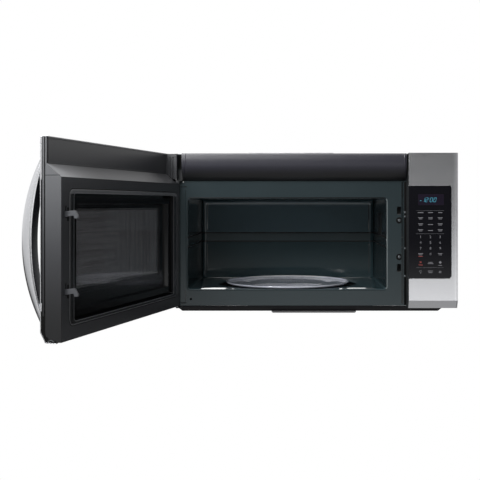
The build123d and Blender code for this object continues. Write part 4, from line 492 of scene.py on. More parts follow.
def dark_enamel(name, low, high, shine):
    """Speckled enamel; its roughness is fed by the section that uses it."""
    paint, place = finish(name, {"Specular IOR Level": shine})
    fleck = cloud(place, 1600, detail=1.0).span(0.58, 0.68)
    tone = (0.10 * fleck).between(cloud(place, 4).between(low, high), (0.060, 0.070, 0.073))
    feed(paint, "Base Color", tone)
    relief(paint, cloud(place, 700, detail=1.0), 0.000004)
    return paint, place, tone


# The pressed lines and the floor of the recess are painted near black as shade. The upper part of the back
# wall is painted lighter as light falling on it, and the ceiling and the side walls are painted darker as
# shade.
oven_enamel, place, tone = dark_enamel("oven enamel", (0.024, 0.043, 0.049), (0.030, 0.052, 0.060), 0.4)
x, y, z = place.parts()
# painted shade: the pressed lines beside the band are near black
painted_groove_shade = 0
for height in (BAND[0] - GROOVE, BAND[1] + GROOVE):
    off = z - height * MM
    painted_groove_shade = (off * off < (GROOVE * MM) ** 2) + painted_groove_shade
back = y > -0.0090
# painted shade on the recess floor and the ceiling, painted light on the upper back wall
tone = (z < 0.0578).between(tone, (0.004, 0.005, 0.0055))
tone = (0.75 * (z > 0.3062)).between(tone, (0.008, 0.012, 0.013))
tone = (0.85 * back * (z > 0.2030)).between(tone, (0.110, 0.165, 0.190))
# painted shade: the side walls are darker
sides = 0.65 * (x < -0.3430) + 0.9 * (x > 0.1936)
tone = sides.between(tone, (0.006, 0.008, 0.009))
feed(oven_enamel, "Base Color", painted_groove_shade.between(tone, (0.001, 0.0012, 0.0014)))
feed(oven_enamel, "Roughness", 0.13 + 0.05 * cloud(place, 8) - 0.09 * back + 0.5 * painted_groove_shade)

mesh, rows = liner_wall()
liner_floor(mesh, rows)
bmesh.ops.recalc_face_normals(mesh, faces=mesh.faces)
liner = add_piece("oven_liner", mesh, oven_enamel, "cabinet", "cavity_liner", smooth=40)
thick = liner.modifiers.new("sheet", "SOLIDIFY")
thick.thickness = SHEET_T * MM
thick.offset = -1.0

# ---- swellings and ribs pressed in the liner ---------------------------------------------------
# Two lens-shaped swellings stiffen the floor at the mouth, and pairs of upright ribs the back
# wall near its corners, above and below the band.
PAD_SECTION = ((0.0, -0.2), (0.02, 0.0), (0.15, 0.92), (0.20, 1.0), (0.34, 1.0), (0.70, 0.5), (1.0, -0.1))
PAD_STEPS = 28
PAD_DEPTH = (-379.0, -362.0)
PAD_RISE = 5.0
PADS = ((-319.0, -214.0), (64.4, 169.4))
RIB_R = 1.7
RIBS_X = (-336.0, -330.5, 186.4, 180.9)
RIBS_Z = ((72.0, 168.0), (208.0, 296.0))


def floor_pad(mesh, x0, x1):
    """Lens-shaped swelling of the oven floor: steep towards the mouth, easy behind."""
    y0, y1 = PAD_DEPTH
    middle = y0 + 0.3 * (y1 - y0)
    loops = []
    for step in range(PAD_STEPS + 1):
        t = step / PAD_STEPS
        bow = math.sin(math.pi * t) ** 0.4 if 0 < step < PAD_STEPS else 0.02
        loops.append([Vector((x0 + t * (x1 - x0), middle + (y0 + along * (y1 - y0) - middle) * bow,
                              LINER[4] + rise * PAD_RISE * bow)) * MM for along, rise in PAD_SECTION])
    skin_loops(mesh, loops, ends=True)


def wall_rib(mesh, x, low, high):
    """An upright half-round rib on the back of the oven, with domed ends."""
    loops = []
    for z, grow in ((low, 0.05), (low + 1.5 * RIB_R, 0.8), (low + 3 * RIB_R, 1.0), (high - 3 * RIB_R, 1.0),
                    (high - 1.5 * RIB_R, 0.8), (high, 0.05)):
        ring = []
        for step in range(13):
            turn = math.pi * (1 + step / 12)
            y = LINER[3] + 0.2 + grow * RIB_R * math.sin(turn)
            ring.append(Vector((x + RIB_R * math.cos(turn), y, z)) * MM)
        loops.append(ring)
    skin_loops(mesh, loops, ends=True)


wet_enamel = mottled("polished enamel", (0.030, 0.040, 0.043), (0.04, 0.05, 0.054), 40,
                     {"Specular IOR Level": 0.8, "Coat Weight": 1.0}, (0.06, 0.03, 30))[0]
mesh = bmesh.new()
for left, right in PADS:
    floor_pad(mesh, left, right)
add_piece("floor_swellings", mesh, wet_enamel, "cabinet", smooth=30)
mesh = bmesh.new()
for x in RIBS_X:
    for low, high in RIBS_Z:
        wall_rib(mesh, x, low, high)
add_piece("wall_ribs", mesh, wet_enamel, "cabinet", smooth=50)

# ---- waveguide, its cover and the magnetron ----------------------------------------------------
# The microwave source: a magnetron with pressed cooling fins, a folded waveguide along the right
# wall, and a mica sheet over its mouth inside the oven.
mica, place = finish("mica sheet", {"Roughness": 0.38, "Specular IOR Level": 0.2})
flake = place.node("TexVoronoi", {}, {"Vector": place, "Scale": 260.0}, out="Color").parts()[0]
feed(mica, "Base Color", flake.between((0.016, 0.017, 0.017), (0.026, 0.027, 0.026)))
relief(mica, cloud(place, 300), 0.0001, edge=0.0003)
coat(mica, "waveguide_cover")
coat(dull_aluminium, "magnetron", "waveguide", "hv_capacitor")

# ---- lamp, motors and transformer --------------------------------------------------------------
# A lamp holder on the outside of the oven wall, and the motors and the transformer in bright
# pressed cans and laminations.
motor_can = mottled("motor can steel", (0.48, 0.48, 0.47), (0.62, 0.62, 0.61), 40,
                    {"Metallic": 1.0}, (0.26, 0.2, 90), (500, 0.00004, 0.0006, 3.0))[0]
coat(motor_can, "turntable_motor", "blower_motor", "fan_motor", "hv_transformer", "oven_lamp")

# ---- coupler, roller ring and rollers ----------------------------------------------------------
# White acetal mouldings: the coupler's three lobes drive the tray, and the ring carries it on
# three rollers that run in the recess. Switches, bushes and fan wheels are moulded in it too.
acetal = mottled("white acetal", (0.60, 0.60, 0.58), (0.70, 0.70, 0.69), 25,
                 {"Subsurface Weight": 0.08, "Specular IOR Level": 0.5},
                 (0.38, 0.12, 400), (1200, 0.00005, 0.0006, 3.0))[0]
coat(acetal, "coupler", "roller_ring", "roller_1", "roller_2", "roller_3", "door_switches",
     "hinge_bushes", "blower_rotor", "fan_blade")

# ---- glass tray --------------------------------------------------------------------------------
# Pressed soda-lime glass: a flat floor, a sloping wall and a thick rounded rim, with three drive
# lugs under the middle and a foot ring where the rollers run.
TRAY = Vector((-74.8, -195.0, 57.0))
TRAY_SIDES = 160
TRAY_UNDER = ((104, 0.0), (106, -0.5), (126, -0.5), (128, 0.0), (163, 0.0), (168, 0.9), (174, 3.2),
              (178, 4.8))
TRAY_RIM = ((179.6, 6.4), (180, 8.6), (179.5, 9.7), (178.6, 10.0), (177.9, 9.8), (177.5, 9.3))
TRAY_TOP = ((176.9, 6.2), (176.0, 5.3), (173, 4.9), (166, 4.4), (161, 4.0), (120, 4.0), (117, 4.5),
            (113, 4.5), (110, 4.0), (60, 4.0), (58, 3.7))
TRAY_T = 3.7
LUG_REACH = 13
LUG_DROP = 2.5


def tray_fan(mesh, height, ring):
    """Triangles from a ring of points to the middle of the tray, which is at height."""
    middle = mesh.verts.new((TRAY + Vector((0, 0, height))) * MM)
    for step in range(TRAY_SIDES):
        mesh.faces.new((middle, ring[step], ring[(step + 1) % TRAY_SIDES]))


mesh = bmesh.new()
turns = [2 * math.pi * step / TRAY_SIDES for step in range(TRAY_SIDES)]
loops = [[(TRAY + Vector((radius * math.cos(a), radius * math.sin(a), z))) * MM for a in turns]
         for radius, z in TRAY_UNDER + TRAY_RIM + TRAY_TOP]
rings = skin_loops(mesh, loops)
tray_fan(mesh, 0.0, rings[0])
tray_fan(mesh, TRAY_T, rings[-1])
for lug in range(3):
    turn = math.radians(60 + 120 * lug)
    spot = TRAY + Vector((LUG_REACH * math.cos(turn), LUG_REACH * math.sin(turn), -LUG_DROP))
    bmesh.ops.create_cone(mesh, cap_ends=True, segments=24, radius1=3.4 * MM, radius2=4.0 * MM,
                          depth=5.4 * MM, matrix=Matrix.Translation(spot * MM))
bmesh.ops.recalc_face_normals(mesh, faces=mesh.faces)
tray_glass, place, tone = mottled("tray glass", (0.50, 0.53, 0.62), (0.80, 0.83, 0.92), 9,
                                  {"Transmission Weight": 0.30, "IOR": 1.5, "Coat Weight": 1.0},
                                  (0.05, 0.08, 60))
x, y, z = place.parts()
# painted highlight: the top of the rim's far side is painted white
far = (z > 0.0640) * y.span(-0.10, -0.02)
feed(tray_glass, "Base Color", far.between(tone, (1.0, 1.0, 1.0)))
relief(tray_glass, cloud(place, 90), 0.0004)
add_piece("pressed_tray", mesh, tray_glass, "tray", "glass_tray", smooth=50)

# ---- front plate -------------------------------------------------------------------------------
# The enamelled steel face that the door closes on. The sheet is rolled round the mouth of the
# oven and stepped beside the control panel.
enamel, place = dark_enamel("dark enamel", (0.019, 0.028, 0.031), (0.024, 0.034, 0.038), 0.30)[:2]
feed(enamel, "Roughness", 0.13 + 0.05 * cloud(place, 8))
coat(enamel, "front_plate")
PLATE_Y = -383.0
ROLL = ((2.6, 0.1), (2.2, -0.25), (1.2, -0.55), (0.3, -0.5), (-0.4, -0.1), (-0.5, 0.8))


def rounded_loop(x0, x1, z0, z1, r, steps=6):
    """Corner points of a rounded rectangle, anticlockwise from its lower left."""
    spots = []
    for cx, cz, start in ((x0 + r, z0 + r, 180), (x1 - r, z0 + r, 270), (x1 - r, z1 - r, 0),
                          (x0 + r, z1 - r, 90)):
        for step in range(steps + 1):
            turn = math.radians(start + 90 * step / steps)
            spots.append((cx + r * math.cos(turn), cz + r * math.sin(turn)))
    return spots


def solid_box(mesh, low, high, round_off=0.0, place=None):
    """A block with its edges rounded, its corners sent through place if that is given."""
    made = bmesh.ops.create_cube(mesh, size=1.0)["verts"]
    for vert in made:
        spot = [low[n] + (vert.co[n] + 0.5) * (high[n] - low[n]) for n in range(3)]
        vert.co = place(*spot) if place else Vector(spot) * MM
    if round_off:
        edges = list({edge for vert in made for edge in vert.link_edges})
        bmesh.ops.bevel(mesh, geom=edges, offset=round_off * MM, segments=2, affect="EDGES", profile=0.5)


def on_plate(mesh, x0, x1, z0, z1, proud, round_off):
    """A raised strip on the front plate, sunk in it by 0.1 mm."""
    solid_box(mesh, (x0, PLATE_Y - proud, z0), (x1, PLATE_Y + 0.1, z1), round_off)


mesh = bmesh.new()
x0, x1, y0, y1, z0, z1 = LINER
loops = []
for grow, back in ROLL:
    outline = rounded_loop(x0 - grow, x1 + grow, z0 - grow, z1 + grow, MOUTH_R + grow)
    loops.append([Vector((x, PLATE_Y + back, z)) * MM for x, z in outline])
skin_loops(mesh, loops, closed=True)
roll_enamel, place, tone = mottled("rolled enamel", (0.018, 0.027, 0.030), (0.024, 0.034, 0.038), 4,
                                   {"Specular IOR Level": 0.12, "Roughness": 0.3})
x, y, z = place.parts()
# painted highlight on the roll's right side, painted shade on its top
tone = (x > 0.1945).between(tone, (0.13, 0.15, 0.155))
feed(roll_enamel, "Base Color", (z > 0.3065).between(tone, (0.004, 0.005, 0.006)))
add_piece("mouth_roll", mesh, roll_enamel, "cabinet", smooth=70)

mesh = bmesh.new()
on_plate(mesh, 235.4, 240.6, 22.0, 352.0, 0.35, 0.15)
on_plate(mesh, -351.0, -349.4, 26.0, 330.0, 0.3, 0.1)
add_piece("plate_steps", mesh, oven_enamel, "cabinet")

# ---- latch screws, dimples and rivets ----------------------------------------------------------
# Two cross-head screws hold the latch board behind the plate. Each sits in a pressed dimple beside its latch
# slot, painted near black as its shade, and four rivets stand along the panel's edge, where a strip is
# painted near black as shade.
LATCH_X = 229.7
LATCH_Z = (148.0, 247.3)
DIMPLE = ((8.6, -0.1), (8.6, 0.06), (8.2, 0.14), (5.0, 0.1))
LATCH_HEAD = ((2.0, -4.9), (2.0, -0.05), (4.0, -0.05), (4.0, 0.5), (3.6, 0.9), (2.6, 1.15), (1.4, 1.2))
RIVET = ((2.6, -0.1), (2.6, 0.2), (2.2, 0.55), (1.0, 0.7))


def turned(mesh, centre, profile, sides=28, out=(0, -1, 0)):
    """A round piece on an axis through centre: profile gives its radius and how far out it stands."""
    axis = Vector(out)
    side = axis.orthogonal().normalized()
    up = axis.cross(side)
    loops = []
    for radius, reach in profile:
        ring = []
        for step in range(sides):
            turn = 2 * math.pi * step / sides
            spot = Vector(centre) + axis * reach + (side * math.cos(turn) + up * math.sin(turn)) * radius
            ring.append(spot * MM)
        loops.append(ring)
    skin_loops(mesh, loops, ends=True)


screw_black = mottled("blackened screw", (0.07, 0.08, 0.085), (0.13, 0.14, 0.15), 300,
                      {"Metallic": 0.6}, (0.30, 0.2, 500))[0]
# near black: painted shade in dimples, slots and gaps, and the door's corner cap
shade_and_cap_black = mottled("shade and cap black", (0.0015, 0.0015, 0.0015), (0.003, 0.003, 0.003), 80,
                    {"Roughness": 0.6, "Specular IOR Level": 0.1})[0]
# painted shade: the dimples and the strip along the panel's edge
mesh = bmesh.new()
for z in LATCH_Z:
    turned(mesh, (LATCH_X, PLATE_Y, z), DIMPLE)
on_plate(mesh, 242.6, 248.8, 18.0, 352.0, 0.2, 0.05)
add_piece("latch_dimple_shade", mesh, shade_and_cap_black, "cabinet", smooth=40)

mesh = bmesh.new()
for z in LATCH_Z:
    turned(mesh, (LATCH_X, PLATE_Y, z), LATCH_HEAD)
    for half_x, half_z in ((1.8, 0.4), (0.4, 1.8)):
        solid_box(mesh, (LATCH_X - half_x, PLATE_Y - 1.28, z - half_z),
                  (LATCH_X + half_x, PLATE_Y - 1.0, z + half_z), 0.06)
add_piece("latch_screw_heads", mesh, screw_black, "cabinet", "latch_screws", smooth=40)
mesh = bmesh.new()
for z in (269.0, 258.0, 171.5, 96.0):
    turned(mesh, (245.6, PLATE_Y - 0.2, z), RIVET, 18)
add_piece("plate_rivets", mesh, screw_black, "cabinet", smooth=40)

# ---- hinge brackets and pins -------------------------------------------------------------------
# Two pressed angles carry the bright pins that the door's bushes turn on. A screw holds the upper one, and
# strips painted near black as shade mark where they pass through the plate.
bright_steel = mottled("bright steel", (0.52, 0.52, 0.53), (0.68, 0.68, 0.69), 60,
                       {"Metallic": 1.0}, (0.2, 0.18, 400), (700, 0.00003, 0.0003, 3.0))[0]
coat(bright_steel, "hinge_pins")
coat(black_coat, "hinge_brackets")
mesh = bmesh.new()
turned(mesh, (-356.6, PLATE_Y, 351.6), ((2.3, -0.1), (2.3, 0.9), (1.9, 1.5), (0.9, 1.7)), 20)
add_piece("hinge_screw", mesh, bright_steel, "cabinet", smooth=40)
# painted shade: near-black strips at the hinge brackets
mesh = bmesh.new()
on_plate(mesh, -363.0, -346.8, 337.4, 339.4, 0.9, 0.2)
on_plate(mesh, -363.0, -347.0, 22.5, 24.5, 0.9, 0.2)
on_plate(mesh, -371.5, -357.6, 386.0, 425.0, 0.4, 0.1)
add_piece("hinge_slot_shade", mesh, shade_and_cap_black, "cabinet")

# ---- case screws -------------------------------------------------------------------------------
# Blackened pan-head screws hold the wrap: seven along each side, and five along the top's rear
# edge.
BODY_HALF = 375.5
BODY_TOP = 427.0
CASE_HEAD = ((3.6, -0.2), (3.6, 0.5), (3.1, 0.95), (2.0, 1.25), (0.9, 1.3))
SIDE_SCREWS = ((-14.0, 60.0), (-14.0, 225.0), (-14.0, 395.0), (-130.0, 14.0), (-270.0, 14.0),
               (-366.0, 60.0), (-366.0, 395.0))
TOP_SCREWS = (-340.0, -180.0, 120.0, 230.0, 345.0)
mesh = bmesh.new()
for side in (-1, 1):
    for y, z in SIDE_SCREWS:
        turned(mesh, (side * BODY_HALF, y, z), CASE_HEAD, 18, (side, 0, 0))
for x in TOP_SCREWS:
    turned(mesh, (x, -14.0, BODY_TOP), CASE_HEAD, 18, (0, 0, 1))
add_piece("case_screws", mesh, screw_black, "cabinet", smooth=40)

# ---- air deflector -----------------------------------------------------------------------------
# A bowed moulding in a pearly grey black over the oven mouth, with a painted highlight along its upper edge
# and painted shade towards its foot, and a raised strip at each end.
FRONT_Y = -431.5
FOOT_Z = 14.0
BOW = [Vector(spot) for spot in ((48.0, 340.0), (36.0, 350.4), (24.0, 362.0), (19.4, 375.0), (17.0, 388.0),
                                 (17.2, 401.0), (19.0, 413.2))]
STRIP_SECTION = ((0.0, -0.3), (0.0, 0.2), (0.15, 0.75), (0.35, 1.0), (0.65, 1.0), (0.85, 0.75), (1.0, 0.2),
                 (1.0, -0.3))
STRIP_PROUD = 0.8
pearl, place = finish("pearl grey moulding", {"Specular IOR Level": 0.55})
x, y, z = place.parts()
shimmer = cloud(place, 2200, detail=1.0)
tone = shimmer.between((0.011, 0.011, 0.018), (0.017, 0.017, 0.027))
# painted shade towards the foot, painted highlight along the upper edge
tone = z.span(0.400, 0.368).between(tone, (0.002, 0.002, 0.003))
feed(pearl, "Base Color", z.span(0.4205, 0.4265).between(tone, (0.085, 0.084, 0.095)))
feed(pearl, "Roughness", 0.33 + 0.05 * cloud(place, 20))
relief(pearl, shimmer, 0.00002, edge=0.0008)
coat(pearl, "air_deflector")


def bow_strip(mesh, x0, x1):
    """A narrow raised strip that follows the deflector's bow, with rounded edges."""
    loops = []
    for number, spot in enumerate(BOW):
        run = (BOW[min(number + 1, len(BOW) - 1)] - BOW[max(number - 1, 0)]).normalized()
        ring = []
        for along, lift in STRIP_SECTION:
            v, z = spot + Vector((-run.y, run.x)) * lift * STRIP_PROUD
            ring.append(Vector((x0 + along * (x1 - x0), v + FRONT_Y, z + FOOT_Z)) * MM)
        loops.append(ring)
    skin_loops(mesh, loops, ends=True)


mesh = bmesh.new()
bow_strip(mesh, -351.0, -345.5)
bow_strip(mesh, 238.5, 243.0)
add_piece("deflector_end_strips", mesh, pearl, "cabinet", smooth=70)

# ---- grille, mouldings and charcoal filter -----------------------------------------------------
# The vent grille over the deflector lets the cooled air out, with the charcoal filter lying
# behind. The panel's housing, the latch board and the blower scrolls have the same black.
black_moulding = mottled("black moulding", (0.014, 0.015, 0.016), (0.022, 0.023, 0.025), 20,
                         {"Specular IOR Level": 0.4}, (0.42, 0.12, 500), (1800, 0.00006, 0.0006, 1.0))[0]
coat(black_moulding, "top_grille", "control_housing", "latch_board", "blower_scrolls")

charcoal, place = finish("charcoal granules", {"Roughness": 0.85})
grain = place.node("TexVoronoi", {}, {"Vector": place, "Scale": 420.0}, out="Distance")
feed(charcoal, "Base Color", grain.between((0.006, 0.006, 0.006), (0.035, 0.035, 0.036)))
relief(charcoal, 1 - grain, 0.0012)
coat(charcoal, "charcoal_filter")


# ---- control panel: steel fascia ---------------------------------------------------------------
# Stainless sheet with a fine horizontal brush, folded over the moulding behind it and bevelled
# along its lower edge. The door's skin and the handle have the same steel.
def brushed(name):
    """Brushed steel; its relief is given by the section that uses it."""
    paint, place = finish(name, {"Metallic": 1.0})
    brush = cloud(place, 900, (0.03, 0.03, 3.0), detail=4.0, rough=0.6)
    tone = brush.between((0.705, 0.710, 0.735), (0.83, 0.835, 0.86))
    feed(paint, "Base Color", tone)
    feed(paint, "Roughness", 0.17 + 0.07 * brush + 0.03 * cloud(place, 14, (1, 1, 2)))
    return paint, place, brush, tone


# The panel's face bends back over its last 16 mm on the right; a line at the bend is painted dark as shade.
panel_steel, place, brush, tone = brushed("panel stainless")
x, y, z = place.parts()
past = (x - 0.3635).larger(0.0) / 0.016
fold_shade = (x > 0.3762) * (x < 0.3778)
feed(panel_steel, "Base Color", (0.62 * fold_shade).between(tone, (0.10, 0.10, 0.11)))
relief(panel_steel, 1 - past * past + 0.01 * brush, 0.0012, edge=0.0010)
coat(panel_steel, "control_fascia")

# ---- control panel: glass, display and legends -------------------------------------------------
# A flush black glass, printed on its back, over a touch membrane; the display shows through a
# dark window. The printing is plain numbers, bars and simple signs.
black_glass = mottled("black glass", (0.0045, 0.0045, 0.006), (0.007, 0.007, 0.009), 5,
                      {"Specular IOR Level": 0.25, "Roughness": 0.05}, grain=(30, 0.00001, 0.0006, 3.0))[0]
coat(black_glass, "control_glass", "door_glass")
display_tint = mottled("display tint", (0.010, 0.008, 0.014), (0.015, 0.011, 0.020), 40,
                       {"Specular IOR Level": 0.25, "Roughness": 0.08})[0]
coat(display_tint, "display_window")
white_print = mottled("white print", (0.12, 0.12, 0.13), (0.22, 0.22, 0.24), 900, {"Roughness": 0.5})[0]
red_print = mottled("red print", (0.22, 0.035, 0.03), (0.34, 0.06, 0.05), 900, {"Roughness": 0.5})[0]
lit_segment, place = mottled("lit segment", (0.0, 0.02, 0.03), (0.0, 0.03, 0.04), 800,
                             {"Roughness": 0.4, "Emission Strength": 1.0})[:2]
feed(lit_segment, "Emission Color", cloud(place, 800).between((0.07, 0.42, 0.60), (0.12, 0.58, 0.76)))

GLASS_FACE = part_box("control_glass")[0].y
PRINT_T = 0.00008
KEY_COLUMNS = (280.2, 306.4, 332.2)
LEFT, MIDDLE, RIGHT = KEY_COLUMNS
SEGMENTS = {"0": "abcdef", "1": "bc", "2": "abged"}


def printed_patch(mesh, outline):
    """One thin solid of print on the glass, from its outline in millimetres (x, z over the panel foot)."""
    loops = [[(x * MM, GLASS_FACE + y, (z + FOOT_Z) * MM) for x, z in outline] for y in (-PRINT_T, PRINT_T)]
    skin_loops(mesh, loops, ends=True)


def bar(mesh, x, z, wide, high, slant=0.0):
    """A bar centred on x, z; slant leans its top to the right."""
    low, top = z - high / 2, z + high / 2
    printed_patch(mesh, [(x - wide / 2 - slant, low), (x + wide / 2 - slant, low),
                         (x + wide / 2 + slant, top), (x - wide / 2 + slant, top)])


def sector(mesh, x, z, inner, outer, inner_turns, outer_turns):
    """A four-cornered patch round x, z, between two radii."""
    corners = [(inner, inner_turns[0]), (outer, outer_turns[0]),
               (outer, outer_turns[1]), (inner, inner_turns[1])]
    printed_patch(mesh, [(x + radius * math.cos(a), z + radius * math.sin(a)) for radius, a in corners])


def ring_mark(mesh, x, z, outer, inner, sides=24):
    """A round sign as short patches in a ring."""
    for step in range(sides):
        turns = [2 * math.pi * (step + more) / sides for more in (0, 1)]
        sector(mesh, x, z, inner, outer, turns, turns)


def segment_digit(mesh, text, x, z, wide=6.2, high=10.8, stroke=0.62, slant=2.4):
    """A figure of seven bars, as on a display."""
    rows = {"a": high / 2, "g": 0.0, "d": -high / 2}
    for part in SEGMENTS[text]:
        if part in rows:
            lean = slant * rows[part] / high
            bar(mesh, x + lean, z + rows[part], wide - stroke, stroke)
        else:
            side = 1 if part in "bc" else -1
            middle = high / 4 if part in "bf" else -high / 4
            lean = slant * middle / high
            bar(mesh, x + side * (wide - stroke) / 2 + lean, z + middle, stroke, high / 2, slant / 4)


mesh = bmesh.new()
for z in (260.2, 198.9, 108.8):
    bar(mesh, 305.0, z, 74.0, 0.35)
for z, two_lines in ((254.9, False), (239.5, True), (223.3, True), (207.6, True)):
    for column, x in enumerate(KEY_COLUMNS):
        if two_lines and (column != 1 or z > 230):
            bar(mesh, x, z + 2.0, 13.0 - 2 * (column % 2), 1.5)
            bar(mesh, x, z - 1.2, 9.0 + 2 * (column % 2), 1.5)
        else:
            bar(mesh, x, z, 15.0 - 2 * column, 1.7)
for x, z, wide, high in ((LEFT, 146.3, 13.0, 1.5), (LEFT, 142.8, 10.0, 1.5), (RIGHT, 146.3, 12.0, 1.5),
                         (RIGHT, 142.8, 9.0, 1.5), (MIDDLE, 119.4, 15.0, 1.5), (MIDDLE, 122.8, 11.0, 1.5),
                         (RIGHT, 114.8, 10.0, 1.3), (LEFT, 94.6, 2.8, 0.7), (LEFT, 93.2, 2.0, 0.6),
                         (MIDDLE, 99.8, 13.0, 1.5), (MIDDLE, 95.6, 10.0, 1.5)):
    bar(mesh, x, z, wide, high)
printed_patch(mesh, [(328.2, 122.6), (332.2, 118.6), (336.2, 122.6), (332.2, 126.6)])
ring_mark(mesh, LEFT, 98.6, 3.1, 2.5)
ring_mark(mesh, RIGHT, 97.2, 1.0, 0.3, 12)
for blade in range(4):
    a = math.radians(90 * blade + 20)
    sector(mesh, RIGHT, 97.2, 1.2, 3.8, (a - 0.3, a + 0.5), (a - 0.1, a + 0.9))
add_piece("panel_print", mesh, white_print, "cabinet")

mesh = bmesh.new()
bar(mesh, LEFT, 138.6, 11.0, 1.4)
for blade in range(2):
    a = math.radians(45 + 90 * blade)
    arm = Vector((math.cos(a), math.sin(a))) * 3.0
    side = Vector((-math.sin(a), math.cos(a))) * 0.6
    cross = Vector((LEFT, 123.2))
    printed_patch(mesh, [cross - arm - side, cross + arm - side, cross + arm + side, cross - arm + side])
bar(mesh, LEFT, 116.0, 11.0, 1.3)
add_piece("panel_stop_print", mesh, red_print, "cabinet")


def number_key(text, x, z, high=9.5):
    """A plain figure in the plainest built-in face, as thin print on the glass."""
    words = bpy.data.curves.new("figure_" + text, "FONT")
    words.body = text
    words.size = high * MM
    words.align_x = "CENTER"
    words.align_y = "CENTER"
    words.extrude = PRINT_T
    draft = bpy.data.objects.new("draft_figure", words)
    bpy.context.scene.collection.objects.link(draft)
    data = bpy.data.meshes.new_from_object(draft)
    bpy.data.objects.remove(draft)
    place = Vector((x * MM, GLASS_FACE, (z + FOOT_Z) * MM))
    data.transform(Matrix.Translation(place) @ Matrix.Rotation(math.radians(90), 4, "X"))
    data.materials.clear()
    data.materials.append(white_print)
    piece = bpy.data.objects.new("number_key_" + text, data)
    bpy.context.scene.collection.objects.link(piece)
    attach(piece, "cabinet")


for row, z in enumerate((190.1, 175.3, 159.9)):
    for column, x in enumerate(KEY_COLUMNS):
        number_key(str(3 * row + column + 1), x, z)
number_key("0", MIDDLE, 144.6)

mesh = bmesh.new()
for text, x in (("1", 288.6), ("2", 296.6), ("0", 309.2), ("0", 318.4)):
    segment_digit(mesh, text, x, 288.8)
for z in (291.4, 286.2):
    bar(mesh, 303.1 + (z - 288.6) * 0.1, z, 1.0, 1.0)
bar(mesh, 280.6, 287.0, 2.8, 1.0)
add_piece("clock_figures", mesh, lit_segment, "cabinet")

# ---- door: skin and inner frame ----------------------------------------------------------------
# The skin is brushed steel. The moulded frame inside it has painted light on its sloping ledge and on the
# upper part of its free end, and painted shade towards the foot of its free end.
OPEN = math.radians(-104.23)
PIVOT = Vector((-0.37227, -0.392, 0.0))
U_WAY = Vector((math.cos(OPEN), math.sin(OPEN), 0))
V_WAY = Vector((-math.sin(OPEN), math.cos(OPEN), 0))
DOOR_CORNER = Vector((-0.3795, -0.4315, 0.014))


def on_door(u, v, z):
    """A place given on the closed door, where it is with the door open as it stands."""
    flat = Vector((u, v, z)) * MM + DOOR_CORNER - PIVOT
    return PIVOT + U_WAY * flat.x + V_WAY * flat.y + Vector((0, 0, flat.z))


def door_measures(place):
    """Along the door from its hinge side, and up it, in metres."""
    x, y, z = place.parts()
    along = (x - PIVOT.x) * U_WAY.x + (y - PIVOT.y) * U_WAY.y + (PIVOT.x - DOOR_CORNER.x)
    return along, z - DOOR_CORNER.z


stainless, _, brush, _ = brushed("brushed stainless")
relief(stainless, brush, 0.000012, edge=0.0010)
coat(stainless, "door_skin")

door_moulding, place, tone = mottled("door moulding", (0.020, 0.021, 0.024), (0.026, 0.027, 0.030), 12,
                                     {"Specular IOR Level": 0.5}, (0.30, 0.08, 600),
                                     (1600, 0.00005, 0.0010, 1.0))
along, high = door_measures(place)
# painted light on the ledge and the top of the free end, painted shade at the free end's foot
lit_ledge = (high > 0.3318) * (high < 0.3592)
tone = (0.85 * lit_ledge * along.span(0.42, 0.64)).between(tone, (0.165, 0.168, 0.175))
free_end_shading = along > 0.6235
tone = (free_end_shading * high.span(0.14, 0.36)).between(tone, (0.056, 0.058, 0.062))
tone = (free_end_shading * high.span(0.22, 0.02)).between(tone, (0.006, 0.0062, 0.007))
feed(door_moulding, "Base Color", tone)
coat(door_moulding, "door_frame")

# ---- door: key and its spring ------------------------------------------------------------------
# The key carries both hooks. Its coil spring stands over it; the real one shortens as the key rises, but
# here it is one fixed coil.
SPRING = (608.5, 40.4, 277.8, 294.2)
COIL_R = 2.0
COIL_WIRE = 0.48
COIL_TURNS = 8
COIL_STEPS = 24
hook_grey = mottled("hook grey", (0.034, 0.036, 0.040), (0.052, 0.054, 0.060), 60,
                    {"Specular IOR Level": 0.5}, (0.34, 0.1, 700), (900, 0.00004, 0.0008, 3.0))[0]
coat(hook_grey, "door_key")

mesh = bmesh.new()
u, v, foot, head = SPRING
loops = []
for step in range(COIL_TURNS * COIL_STEPS + 1):
    turn = 2 * math.pi * step / COIL_STEPS
    z = foot + (head - foot) * step / (COIL_TURNS * COIL_STEPS)
    ring = []
    for side in range(10):
        a = 2 * math.pi * side / 10
        reach = COIL_R + COIL_WIRE * math.cos(a)
        out = (u + reach * math.cos(turn), v + reach * math.sin(turn))
        ring.append(on_door(*out, z + COIL_WIRE * math.sin(a)))
    loops.append(ring)
skin_loops(mesh, loops, ends=True)
coil = add_piece("key_coil", mesh, bright_steel, "door", "key_spring", smooth=60)
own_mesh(coil)

# ---- door: choke panel and its cover ring ------------------------------------------------------
# The stamped choke panel is painted black. A cover ring closes the choke, with painted light along its upper
# side and painted shade along its free side.
RING = ((25.0, 1, 25.0), (593.0, -1, 19.0), (31.0, 1, 9.0), (308.0, -1, 9.0))
RING_SECTION = ((0.2, 0, 46.72), (0.25, 0, 47.0), (1.4, 0, 47.3), (0.0, 0.42, 47.5), (-1.6, 1, 47.42),
                (-0.5, 1, 47.2), (-0.1, 1, 46.9), (-0.1, 1, 46.7), (5.6, 0, 46.7), (5.6, 0, 32.2),
                (3.3, 0, 32.2), (3.3, 0, 46.6))
choke_black = mottled("choke black", (0.004, 0.0042, 0.005), (0.007, 0.0073, 0.008), 20,
                      {"Specular IOR Level": 0.4}, (0.12, 0.06, 15), (60, 0.00005, 0.0010, 3.0))[0]
coat(choke_black, "choke_panel")


